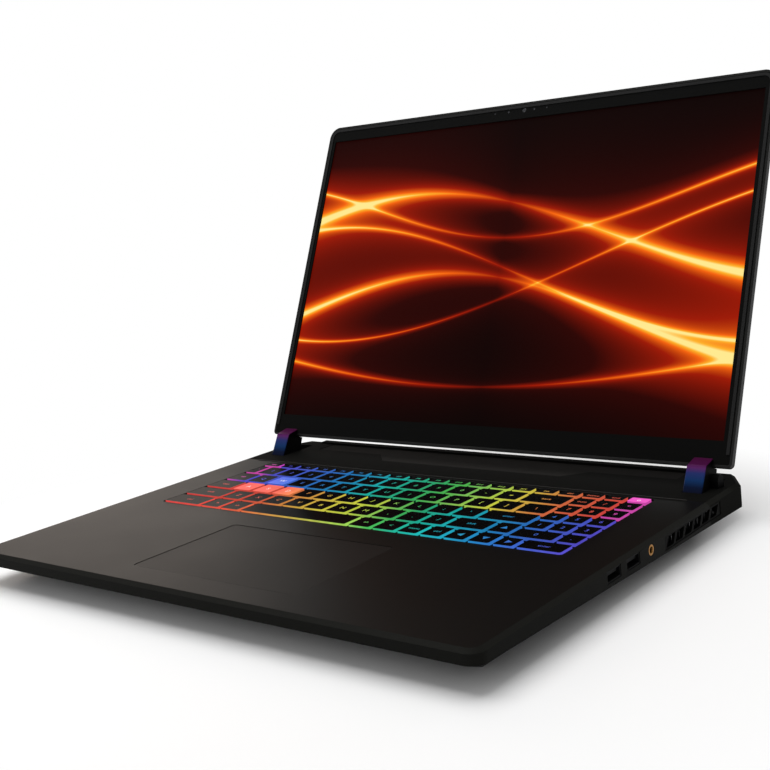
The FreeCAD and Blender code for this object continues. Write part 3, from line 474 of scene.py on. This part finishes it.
def cells_of(node):
    """The plan boxes of the caps in one CAD node, read from its top faces."""
    mesh = nodes[node].data
    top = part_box(node)[1].z
    cells = []
    for face in mesh.polygons:
        corners = [mesh.vertices[i].co for i in face.vertices]
        if min(c.z for c in corners) < top - TOP_TOLERANCE * MM:
            continue
        x0, x1 = min(c.x for c in corners), max(c.x for c in corners)
        y0, y1 = min(c.y for c in corners), max(c.y for c in corners)
        touching = [c for c in cells if x0 <= c[1] and x1 >= c[0] and y0 <= c[3] and y1 >= c[2]]
        for cell in touching:
            cells.remove(cell)
            x0, x1 = min(x0, cell[0]), max(x1, cell[1])
            y0, y1 = min(y0, cell[2]), max(y1, cell[3])
        cells.append((x0, x1, y0, y1))
    return cells


def by_place(cell):
    """Sorts the cells of a node row by row from the front, and from left to right in a row."""
    return (round(cell[2] / (ROW_STEP * MM)), cell[0])


def build_keys(node, cells, words):
    """Makes the caps and the legends that stand in for one CAD node, a word for each cell."""
    solid_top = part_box(node)[1].z
    cap_top = solid_top + CAP_CROWN * MM
    cap_low = solid_top - CAP_DEPTH * MM
    bright = node in BRIGHT_KEYS
    caps = bmesh.new()
    marks = bmesh.new()
    for (x0, x1, y0, y1), word in zip(cells, words):
        middle = Vector(((x0 + x1) / 2.0, (y0 + y1) / 2.0, cap_top - CAP_DISH * MM + LEGEND_DEPTH * MM))
        upper = middle.y > upper_line
        boost = FRONT_ROW_BOOST if y0 < front_line else 1.0
        merge(caps, key_cap((x0, y0, cap_low), (x1, y1, cap_top)), upper, boost=boost)
        if word == "_":
            continue
        if word in ARROWS:
            mark = arrow(ARROWS[word], middle)
        else:
            mark = legend(word, LEGEND_SIZE if len(word) == 1 else WORD_SIZE, middle)
        merge(marks, mark, upper, MARK_PALENESS if bright else 0.0)
    top_finish = bright_cap_finish if bright else cap_finish
    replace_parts(new_piece(node + "_caps", caps, node, [top_finish, skirt_finish]), node)
    if len(marks.faces):
        new_piece(node + "_legends", marks, node, [legend_finish])
    else:
        marks.free()


for row, words in ROW_LEGENDS.items():
    node = "keys_number_pad" if row == "pad" else "keys_" + row + "_row"
    plain = [word for word in words if row == "pad" or word not in OWN_KEYS]
    build_keys(node, sorted(cells_of(node), key=by_place), plain)
for word, node in OWN_KEYS.items():
    build_keys(node, cells_of(node), [word])

# The touchpad is a coated plate set a hair below the deck, with a thin open seam round it.
# It hinges on two tabs at its rear edge, and presses a switch on the tray below.
pad_finish = finish("pad_coat", (0.0090, 0.0083, 0.0076), roughness=0.40, grain=3200.0, depth=0.01,
                    edge=0.2, sheen_level=0.013)
coat(pad_finish, "touchpad")
coat(plate_finish, "touchpad_tray", "touchpad_switch")

# The sockets are folded steel or moulded black shells soldered to small boards at the casing's edges.
# The audio socket has a gilt ring, and the side grilles are black mouldings with slanted cells.
shell_finish = finish("socket_steel", (0.30, 0.30, 0.31), roughness=0.32, grain=1600.0, metallic=1.0)
socket_resin = finish("socket_resin", (0.0045, 0.0045, 0.005), roughness=0.45, sheen_level=0.05)
gilt_finish = finish("jack_gilt", (0.40, 0.19, 0.04), roughness=0.4, grain=2500.0, metallic=0.3,
                     sheen_level=0.4)
tongue_resin = finish("tongue_resin", (0.004, 0.004, 0.004), roughness=0.45, sheen_level=0.05)
contact_finish = finish("contact_gilt", (0.70, 0.48, 0.18), roughness=0.3, metallic=1.0)
grille_resin = finish("grille_resin", (0.0035, 0.0034, 0.0033), roughness=0.5, sheen_level=0.02)
coat(socket_resin, "usb_socket_front", "usb_socket_rear", "usb_socket_left")
coat(socket_resin, "power_inlet", "network_socket", "audio_jack")
coat(shell_finish, "usb_c_socket", "video_socket")
coat(grille_resin, "vent_grilles")
TONGUE_SETBACK = 1.2
TONGUE_LENGTH = 10.0
TONGUE_EDGE = 0.2
CONTACT_RISE = 0.12
CONTACT_SETBACK = 0.8
CONTACT_SHARE = 0.45


def tongue(name, node, axis, outward, size, lift, contacts):
    """The plate inside a socket's mouth, with a row of gilt contacts along its underside."""
    low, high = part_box(node)
    middle = (low + high) / 2.0
    across = 1 - axis
    end = (high if outward > 0 else low)[axis] - outward * TONGUE_SETBACK * MM
    start = end - outward * TONGUE_LENGTH * MM
    base = middle.z + lift * MM
    bm = bmesh.new()

    def bar(from_end, to_end, width, offset, z0, z1, material):
        """Adds one straight bar along the socket's axis."""
        ends = sorted((from_end, to_end))
        corners = [[0.0, 0.0, z0], [0.0, 0.0, z1]]
        for corner, place, side in zip(corners, ends, (-1.0, 1.0)):
            corner[axis] = place
            corner[across] = middle[across] + (offset + side * width / 2.0) * MM
        made = block(bm, *corners)
        for face in {f for v in made for f in v.link_faces}:
            face.material_index = material

    breadth, thickness = size
    under = base - thickness / 2.0 * MM
    bar(start, end, breadth, 0.0, under, base + thickness / 2.0 * MM, 0)
    end_edges = [e for e in bm.edges if not runs_along(e, axis)]
    round_edges(bm, end_edges, TONGUE_EDGE * MM, TRIM_STEPS)
    pitch = breadth / contacts
    tip = end - outward * CONTACT_SETBACK * MM
    for index in range(contacts):
        offset = (index - (contacts - 1) / 2.0) * pitch
        bar(start, tip, pitch * CONTACT_SHARE, offset, under - CONTACT_RISE * MM, under, 1)
    new_piece(name, bm, "base", [tongue_resin, contact_finish])


for node, outward in (("usb_socket_front", 1.0), ("usb_socket_rear", 1.0), ("usb_socket_left", -1.0)):
    tongue(node + "_tongue", node, SIDEWAYS, outward, size=(10.8, 1.8), lift=1.0, contacts=4)
tongue("video_tongue", "video_socket", BACKWARD, 1.0, size=(11.6, 1.5), lift=0.9, contacts=9)
tongue("usb_c_tongue", "usb_c_socket", BACKWARD, 1.0, size=(6.2, 0.8), lift=0.0, contacts=8)
tongue("network_contacts", "network_socket", BACKWARD, 1.0, size=(9.6, 0.9), lift=2.2, contacts=8)
RING_PROFILE = [(1.8, 0.0), (2.05, -0.38), (2.65, -0.38), (2.95, -0.2), (2.95, 0.6), (1.8, 0.6)]
PIN_PROFILE = [(0.0, 2.0), (0.45, 2.0), (0.6, 2.2), (0.6, 10.8), (0.0, 10.8)]
TURN_STEPS = 40
MERGE_LIMIT = 0.001


def turned(name, node, axis, profile, material):
    """A round fitting on a socket's axis, spun from a profile of (radius, distance in from the mouth)."""
    low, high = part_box(node)
    middle = (low + high) / 2.0
    bm = bmesh.new()
    ring = []
    for radius, inward in profile:
        spot = middle.copy()
        spot[axis] = high[axis] - inward * MM
        spot.z += radius * MM
        ring.append(bm.verts.new(spot))
    loop = [bm.edges.new(pair) for pair in zip(ring, ring[1:] + ring[:1])]
    turn_axis = Vector((1, 0, 0)) if axis == SIDEWAYS else Vector((0, 1, 0))
    bmesh.ops.spin(bm, geom=ring + loop, cent=middle, axis=turn_axis, angle=2.0 * math.pi, steps=TURN_STEPS,
                   use_merge=True)
    bmesh.ops.remove_doubles(bm, verts=bm.verts, dist=MERGE_LIMIT * MM)
    bmesh.ops.recalc_face_normals(bm, faces=bm.faces)
    new_piece(name, bm, "base", [material], rounded=True)


turned("jack_ring", "audio_jack", SIDEWAYS, RING_PROFILE, gilt_finish)
turned("power_pin", "power_inlet", BACKWARD, PIN_PROFILE, contact_finish)

# Inside are the boards, chips, cooling, battery and speakers, seen only through the slots and openings.
# The fans turn on posts in their housings, and copper pipes lead to the fin stacks behind the grilles.
board_finish = finish("board_green", (0.010, 0.030, 0.020), roughness=0.5, grain=700.0)
chip_finish = finish("chip_black", (0.012, 0.012, 0.013), roughness=0.4)
copper_finish = finish("pipe_copper", (0.45, 0.20, 0.10), roughness=0.35, metallic=1.0)
# The fin alloy is darkened far below bare alloy, as painted shade inside the vents.
fin_shade_finish = finish("fin_alloy_painted_shade", (0.10, 0.10, 0.105), roughness=0.4, metallic=1.0)
coat(board_finish, "mainboard", "port_boards")
coat(chip_finish, "processor", "graphics_chip", "memory_modules", "storage_drive", "wireless_card")
coat(copper_finish, "heat_pipes")
coat(fin_shade_finish, "fin_stacks")
coat(plate_finish, "fan_housing_left", "fan_housing_right", "fan_rotor_left", "fan_rotor_right")
coat(chip_finish, "battery", "speakers")

# The hinges are steel arms on friction pins, hidden in blocks with a shot finish from magenta to blue.
# The blocks are fixed to the lid and turn with it in pockets of the deck. Their side faces are black as
# painted shade.
# The steel is black, and darkened further as painted shade where brackets and pins show beside the blocks.
black_and_shade_finish = finish("hinge_black_painted_shade", (0.0022, 0.0022, 0.0024), roughness=0.5, sheen_level=0.015)
coat(black_and_shade_finish, "hinge_brackets", "hinge_pins", "hinge_washers", "hinge_arms")
COVER_SECTION = [(5.2, 0.0), (-0.8, 8.4), (-18.2, 10.0), (-19.5, 7.0), (-15.0, -5.0), (-11.5, -7.0),
                 (0.0, -7.0), (0.0, 0.0)]
COVER_FRONT = 3.0
COVER_EDGE = 0.7
SHOT_COLOURS = [(0.0, (0.046, 0.002, 0.026)), (0.22, (0.052, 0.003, 0.040)), (0.30, (0.110, 0.020, 0.130)),
                (0.44, (0.020, 0.034, 0.155)), (0.62, (0.004, 0.036, 0.130)),
                (0.80, (0.0008, 0.008, 0.030)), (1.0, (0.0005, 0.002, 0.007))]
SPECK_COLOUR = (0.05, 0.02, 0.1)
SPECK_SHARE = 0.05
HINGE_BELOW_EDGE = 7.45
HINGE_BEHIND_FACE = 2.84
lid_lean = -math.radians(lid_joint["range_deg"][0]) - math.pi / 2.0
lid_place = Matrix.Translation(lid_joint["pos_m"]) @ Matrix.Rotation(-lid_lean, 4, "X")


def stand_on_lid(bm):
    """Carries a mesh to the lid from millimetres across it, up from its lower edge and off its face."""
    for vert in bm.verts:
        u, v, w = vert.co
        vert.co = lid_place @ (Vector((u, -HINGE_BEHIND_FACE - w, v + HINGE_BELOW_EDGE)) * MM)
    bmesh.ops.recalc_face_normals(bm, faces=bm.faces)


def set_uv(bm, place_of):
    """Lays a UV map over a mesh from a rule that turns a point into a pair of numbers."""
    layer = bm.loops.layers.uv.new("place")
    for face in bm.faces:
        for corner in face.loops:
            corner[layer].uv = place_of(corner.vert.co)


def shot_finish():
    """A satin coat whose colour runs from magenta at the top of the block to deep blue at its foot."""
    material = finish("hinge_shot", SPECK_COLOUR, roughness=0.36, grain=1500.0, depth=0.06,
                      sheen_level=0.03)
    tree = material.node_tree
    shader = tree.nodes["Principled BSDF"]
    spot = tree.nodes.new("ShaderNodeUVMap")
    spot.uv_map = "place"
    split = tree.nodes.new("ShaderNodeSeparateXYZ")
    run = tree.nodes.new("ShaderNodeValToRGB")
    set_stops(run.color_ramp, SHOT_COLOURS)
    speck = tree.nodes["Color Ramp"].outputs["Color"]
    blend = tree.nodes.new("ShaderNodeMix")
    blend.data_type = "RGBA"
    blend.inputs["Factor"].default_value = SPECK_SHARE
    link = tree.links.new
    link(spot.outputs["UV"], split.inputs["Vector"])
    link(split.outputs["Y"], run.inputs["Fac"])
    link(run.outputs["Color"], blend.inputs["A"])
    link(speck, blend.inputs["B"])
    link(blend.outputs["Result"], shader.inputs["Base Color"])
    return material


shot = shot_finish()
cover_top = max(v for v, w in COVER_SECTION)
cover_foot = min(v for v, w in COVER_SECTION)
for node in ("hinge_cover_right", "hinge_cover_left"):
    left, right = [corner.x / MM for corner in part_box(node)]
    bm = drawn_out([(left, v, w) for v, w in COVER_SECTION], (right - left, 0, 0))
    front = [e for e in bm.edges if max(v.co.z for v in e.verts) > COVER_FRONT]
    round_edges(bm, front, COVER_EDGE, CORNER_STEPS)
    set_uv(bm, lambda c: (c.x * MM, (cover_top - c.y) / (cover_top - cover_foot)))
    stand_on_lid(bm)
    # The block's side faces take the black steel as painted shade.
    for face in bm.faces:
        face.material_index = 1 if abs(face.normal.x) > FACING else 0
    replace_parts(new_piece(node + "_block", bm, "lid", [shot, black_and_shade_finish]), node)

# The lid is a shallow pressed shell with a black bezel clipped in its front round the display.
# A rubber seal lies in the bezel's border, and a camera looks through a hole above the display.
lid_finish = finish("lid_coat", DECK_COLOUR, roughness=0.42, edge=0.4, sheen_level=0.12, **CASING_GRAIN)
coat(lid_finish, "lid_back_cover")
bezel_finish = finish("bezel_resin", (0.0036, 0.0036, 0.0034), roughness=0.5, grain=2000.0, depth=0.03,
                      sheen_level=0.02)
coat(bezel_finish, "lid_bezel")
coat(finish("seal_rubber", (0.012, 0.012, 0.012), roughness=0.7), "lid_gasket")
coat(finish("camera_black", (0.006, 0.006, 0.008), roughness=0.2), "camera_module")
coat(finish("panel_black", (0.003, 0.003, 0.003), roughness=0.5, sheen_level=0.05), "display_panel")

# Above the display a small lens sits between two microphone holes and two lamps in the bezel.
# Each has a thin glossy window, pressed into the bezel's face.
CAMERA_SPOTS = [(-25.7, 0.55), (-13.6, 0.75), (0.0, 1.5), (8.6, 0.75), (19.2, 0.55)]
SPOT_HEIGHT = 251.5
SPOT_RISE = 0.06
SPOT_SIDES = 28
SPOT_TAPER = 0.9
spot_finish = finish("spot_glass", (0.020, 0.020, 0.024), roughness=0.12, sheen_level=0.6)
bm = bmesh.new()
for u, radius in CAMERA_SPOTS:
    made = bmesh.ops.create_cone(bm, cap_ends=True, segments=SPOT_SIDES, radius1=radius,
                                 radius2=radius * SPOT_TAPER, depth=SPOT_RISE)["verts"]
    bmesh.ops.translate(bm, vec=(u, SPOT_HEIGHT, SPOT_RISE / 2.0), verts=made)
stand_on_lid(bm)
new_piece("camera_strip_spots", bm, "lid", [spot_finish])

# The picture layer of the display is a matt film behind the bezel's opening.
# It glows with a plain abstract of warm ribbons that cross a black ground.
PICTURE_SIDES = (-183.1, 183.1)
PICTURE_HEIGHTS = (16.3, 245.2)
PICTURE_DEPTH = (-1.2, -1.0)
FILM_COLOUR = (0.001, 0.001, 0.001, 1.0)
FILM_ROUGHNESS = 0.5
FILM_SHEEN = 0.012
FILM_LIGHT = 1.0
MIDDLE_LEVEL = 0.22
SIDE_SWELL = 1.5
HALO_SPREAD = 9.0
HALO_LEVEL = 0.24
RIBBONS = [(0.60, 0.17, 0.55, 0.10, 0.017, 1.15), (0.47, 0.20, 0.50, 0.22, 0.006, 0.8),
           (0.34, 0.15, 0.62, 0.02, 0.015, 1.05), (0.72, 0.12, 0.70, 0.38, 0.006, 0.7),
           (0.22, 0.10, 0.45, 0.55, 0.007, 0.6), (0.52, 0.26, 0.40, 0.72, 0.004, 0.7)]
PICTURE_COLOURS = [(0.0, (0.0012, 0.0002, 0.0001)), (0.10, (0.026, 0.0008, 0.0002)),
                   (0.30, (0.34, 0.010, 0.001)), (0.55, (0.92, 0.13, 0.004)), (0.80, (1.0, 0.46, 0.025)),
                   (1.0, (1.0, 0.82, 0.28))]


def picture_finish():
    """A dark film with glowing ribbons: waves with a height, reach, count, start, width and level."""
    material, tree, shader = new_material("picture")
    shader.inputs["Base Color"].default_value = FILM_COLOUR
    shader.inputs["Roughness"].default_value = FILM_ROUGHNESS
    shader.inputs["Specular IOR Level"].default_value = FILM_SHEEN
    shader.inputs["Emission Strength"].default_value = FILM_LIGHT
    link = tree.links.new
    spot = tree.nodes.new("ShaderNodeUVMap")
    spot.uv_map = "place"
    split = tree.nodes.new("ShaderNodeSeparateXYZ")
    link(spot.outputs["UV"], split.inputs["Vector"])

    def sum_up(operation, first, second=None):
        """Adds one step of arithmetic on numbers or on outputs of nodes, and returns its output."""
        node = tree.nodes.new("ShaderNodeMath")
        node.operation = operation
        for socket, value in zip(node.inputs, (first, second)):
            if isinstance(value, float):
                socket.default_value = value
            elif value is not None:
                link(value, socket)
        return node.outputs[0]

    across, up = split.outputs["X"], split.outputs["Y"]
    from_middle = sum_up("ABSOLUTE", sum_up("SUBTRACT", across, 0.5))
    swell = sum_up("ADD", sum_up("MULTIPLY", from_middle, SIDE_SWELL), MIDDLE_LEVEL)
    total = None
    for height, reach, waves, start, width, level in RIBBONS:
        turn = sum_up("MULTIPLY", sum_up("ADD", sum_up("MULTIPLY", across, waves), start), 2.0 * math.pi)
        line = sum_up("ADD", sum_up("MULTIPLY", sum_up("SINE", turn), reach), height)
        off = sum_up("ABSOLUTE", sum_up("SUBTRACT", up, line))
        core = sum_up("EXPONENT", sum_up("MULTIPLY", off, -1.0 / width))
        halo = sum_up("EXPONENT", sum_up("MULTIPLY", off, -1.0 / (HALO_SPREAD * width)))
        light = sum_up("MULTIPLY", sum_up("ADD", core, sum_up("MULTIPLY", halo, HALO_LEVEL)), level)
        total = light if total is None else sum_up("ADD", total, light)
    shine = sum_up("MULTIPLY", total, swell)
    run = tree.nodes.new("ShaderNodeValToRGB")
    set_stops(run.color_ramp, PICTURE_COLOURS)
    link(shine, run.inputs["Fac"])
    link(run.outputs["Color"], shader.inputs["Emission Color"])
    return material


bm = bmesh.new()
block(bm, *zip(PICTURE_SIDES, PICTURE_HEIGHTS, PICTURE_DEPTH))
set_uv(bm, lambda c: ((c.x - PICTURE_SIDES[0]) / (PICTURE_SIDES[1] - PICTURE_SIDES[0]),
                      (c.y - PICTURE_HEIGHTS[0]) / (PICTURE_HEIGHTS[1] - PICTURE_HEIGHTS[0])))
stand_on_lid(bm)
new_piece("display_picture", bm, "lid", [picture_finish()])

# The machine stands on a plain pale table under soft studio light.
# The table keeps the shadow near the machine and runs out to the white of the surround.
FLOOR_REACH = 6.0
FLOOR_SIDES = 64
FLOOR_COLOUR = (0.96, 0.96, 0.96, 1.0)
FLOOR_ROUGHNESS = 0.7
FLOOR_SHEEN = 0.1
FLOOR_FADE = (0.22, 0.36)
FADE_CENTRE = (0.0, -0.09, 0.0)
WHITE = (1.0, 1.0, 1.0)
WARM_WHITE = (1.0, 0.84, 0.72)
FILL_LEVEL = 0.4
WALL_TOP = (0.25, 0.6)


def stage_floor():
    """A pale table that keeps the machine's shadow, runs out to plain white and is clear from below."""
    bm = bmesh.new()
    bmesh.ops.create_circle(bm, cap_ends=True, segments=FLOOR_SIDES, radius=FLOOR_REACH)
    mesh = bpy.data.meshes.new("floor")
    bm.to_mesh(mesh)
    bm.free()
    floor = bpy.data.objects.new("floor", mesh)
    bpy.context.scene.collection.objects.link(floor)
    material, tree, shader = new_material("floor_white")
    shader.inputs["Base Color"].default_value = FLOOR_COLOUR
    shader.inputs["Roughness"].default_value = FLOOR_ROUGHNESS
    shader.inputs["Specular IOR Level"].default_value = FLOOR_SHEEN
    white = tree.nodes.new("ShaderNodeEmission")
    place = tree.nodes.new("ShaderNodeTexCoord")
    reach = tree.nodes.new("ShaderNodeVectorMath")
    reach.operation = "DISTANCE"
    reach.inputs[1].default_value = FADE_CENTRE
    fade = tree.nodes.new("ShaderNodeMapRange")
    fade.inputs["From Min"].default_value = FLOOR_FADE[0]
    fade.inputs["From Max"].default_value = FLOOR_FADE[1]
    pick = tree.nodes.new("ShaderNodeMixShader")
    under = tree.nodes.new("ShaderNodeNewGeometry")
    clear = tree.nodes.new("ShaderNodeBsdfTransparent")
    one_way = tree.nodes.new("ShaderNodeMixShader")
    link = tree.links.new
    link(place.outputs["Object"], reach.inputs[0])
    link(reach.outputs["Value"], fade.inputs["Value"])
    link(fade.outputs["Result"], pick.inputs["Fac"])
    link(shader.outputs["BSDF"], pick.inputs[1])
    link(white.outputs["Emission"], pick.inputs[2])
    link(under.outputs["Backfacing"], one_way.inputs["Fac"])
    link(pick.outputs["Shader"], one_way.inputs[1])
    link(clear.outputs["BSDF"], one_way.inputs[2])
    link(one_way.outputs["Shader"], tree.nodes["Material Output"].inputs["Surface"])
    mesh.materials.append(material)


def softbox(name, place, aim, size, power, tint=WHITE):
    """A square lamp turned from its place towards a point."""
    lamp = bpy.data.lights.new(name, "AREA")
    lamp.shape = "SQUARE"
    lamp.size = size
    lamp.energy = power
    lamp.color = tint
    holder = bpy.data.objects.new(name, lamp)
    holder.location = place
    holder.rotation_euler = (Vector(aim) - Vector(place)).to_track_quat("-Z", "Y").to_euler()
    bpy.context.scene.collection.objects.link(holder)


def studio_world():
    """A white surround for the eye and, low down, for reflections, with a dim ceiling and fill light."""
    world = bpy.data.worlds.new("studio")
    world.use_nodes = True
    tree = world.node_tree
    fill = tree.nodes["Background"]
    fill.inputs["Color"].default_value = WHITE + (1.0,)
    fill.inputs["Strength"].default_value = FILL_LEVEL
    white = tree.nodes.new("ShaderNodeBackground")
    white.inputs["Color"].default_value = WHITE + (1.0,)
    pick = tree.nodes.new("ShaderNodeMixShader")
    path = tree.nodes.new("ShaderNodeLightPath")
    place = tree.nodes.new("ShaderNodeTexCoord")
    split = tree.nodes.new("ShaderNodeSeparateXYZ")
    wall = tree.nodes.new("ShaderNodeMapRange")
    wall.inputs["From Min"].default_value = WALL_TOP[0]
    wall.inputs["From Max"].default_value = WALL_TOP[1]
    wall.inputs["To Min"].default_value = 1.0
    wall.inputs["To Max"].default_value = 0.0
    mirrored = tree.nodes.new("ShaderNodeMath")
    mirrored.operation = "MAXIMUM"
    low_down = tree.nodes.new("ShaderNodeMath")
    low_down.operation = "MULTIPLY"
    seen = tree.nodes.new("ShaderNodeMath")
    seen.operation = "MAXIMUM"
    link = tree.links.new
    link(place.outputs["Generated"], split.inputs["Vector"])
    link(split.outputs["Z"], wall.inputs["Value"])
    link(path.outputs["Is Glossy Ray"], mirrored.inputs[0])
    link(path.outputs["Is Transmission Ray"], mirrored.inputs[1])
    link(mirrored.outputs["Value"], low_down.inputs[0])
    link(wall.outputs["Result"], low_down.inputs[1])
    link(path.outputs["Is Camera Ray"], seen.inputs[0])
    link(low_down.outputs["Value"], seen.inputs[1])
    link(seen.outputs["Value"], pick.inputs["Fac"])
    link(fill.outputs["Background"], pick.inputs[1])
    link(white.outputs["Background"], pick.inputs[2])
    link(pick.outputs["Shader"], tree.nodes["World Output"].inputs["Surface"])
    bpy.context.scene.world = world


stage_floor()
softbox("top_light", place=(-0.55, 0.15, 1.9), aim=(0.0, 0.0, 0.0), size=2.0, power=33.0)
softbox("back_light", place=(-1.5, 0.60, 0.42), aim=(-0.1, -0.08, 0.02), size=1.0, power=6.6,
        tint=WARM_WHITE)
softbox("front_light", place=(-0.9, -1.7, 0.8), aim=(0.0, 0.0, 0.05), size=1.2, power=5.0)
studio_world()

# The camera stands to the right of the front, a little above the deck, and is rolled slightly.
# Its focal length and its optical centre are in pixels of the square picture.
IMAGE_SIDE = 770.0
CAMERA_PLACE = (0.487655, -0.583581, 0.225537)
CAMERA_TURN = 39.017
CAMERA_DIP = 8.282
CAMERA_ROLL = -5.829
FOCAL_PIXELS = 1216.1
OPTICAL_CENTRE = (406.4, 350.3)
SENSOR = 36.0
NEAREST_SEEN = 0.01

lens = bpy.data.cameras.new("camera")
lens.sensor_width = SENSOR
lens.lens = FOCAL_PIXELS * SENSOR / IMAGE_SIDE
lens.shift_x = (IMAGE_SIDE / 2.0 - OPTICAL_CENTRE[0]) / IMAGE_SIDE
lens.shift_y = (OPTICAL_CENTRE[1] - IMAGE_SIDE / 2.0) / IMAGE_SIDE
lens.clip_start = NEAREST_SEEN
camera = bpy.data.objects.new("camera", lens)
turn = Matrix.Rotation(math.radians(CAMERA_TURN), 4, "Z")
dip = Matrix.Rotation(math.radians(90.0 - CAMERA_DIP), 4, "X")
roll = Matrix.Rotation(math.radians(CAMERA_ROLL), 4, "Z")
camera.matrix_world = Matrix.Translation(CAMERA_PLACE) @ turn @ dip @ roll
bpy.context.scene.collection.objects.link(camera)
bpy.context.scene.camera = camera
bpy.context.scene.view_settings.view_transform = "Standard"
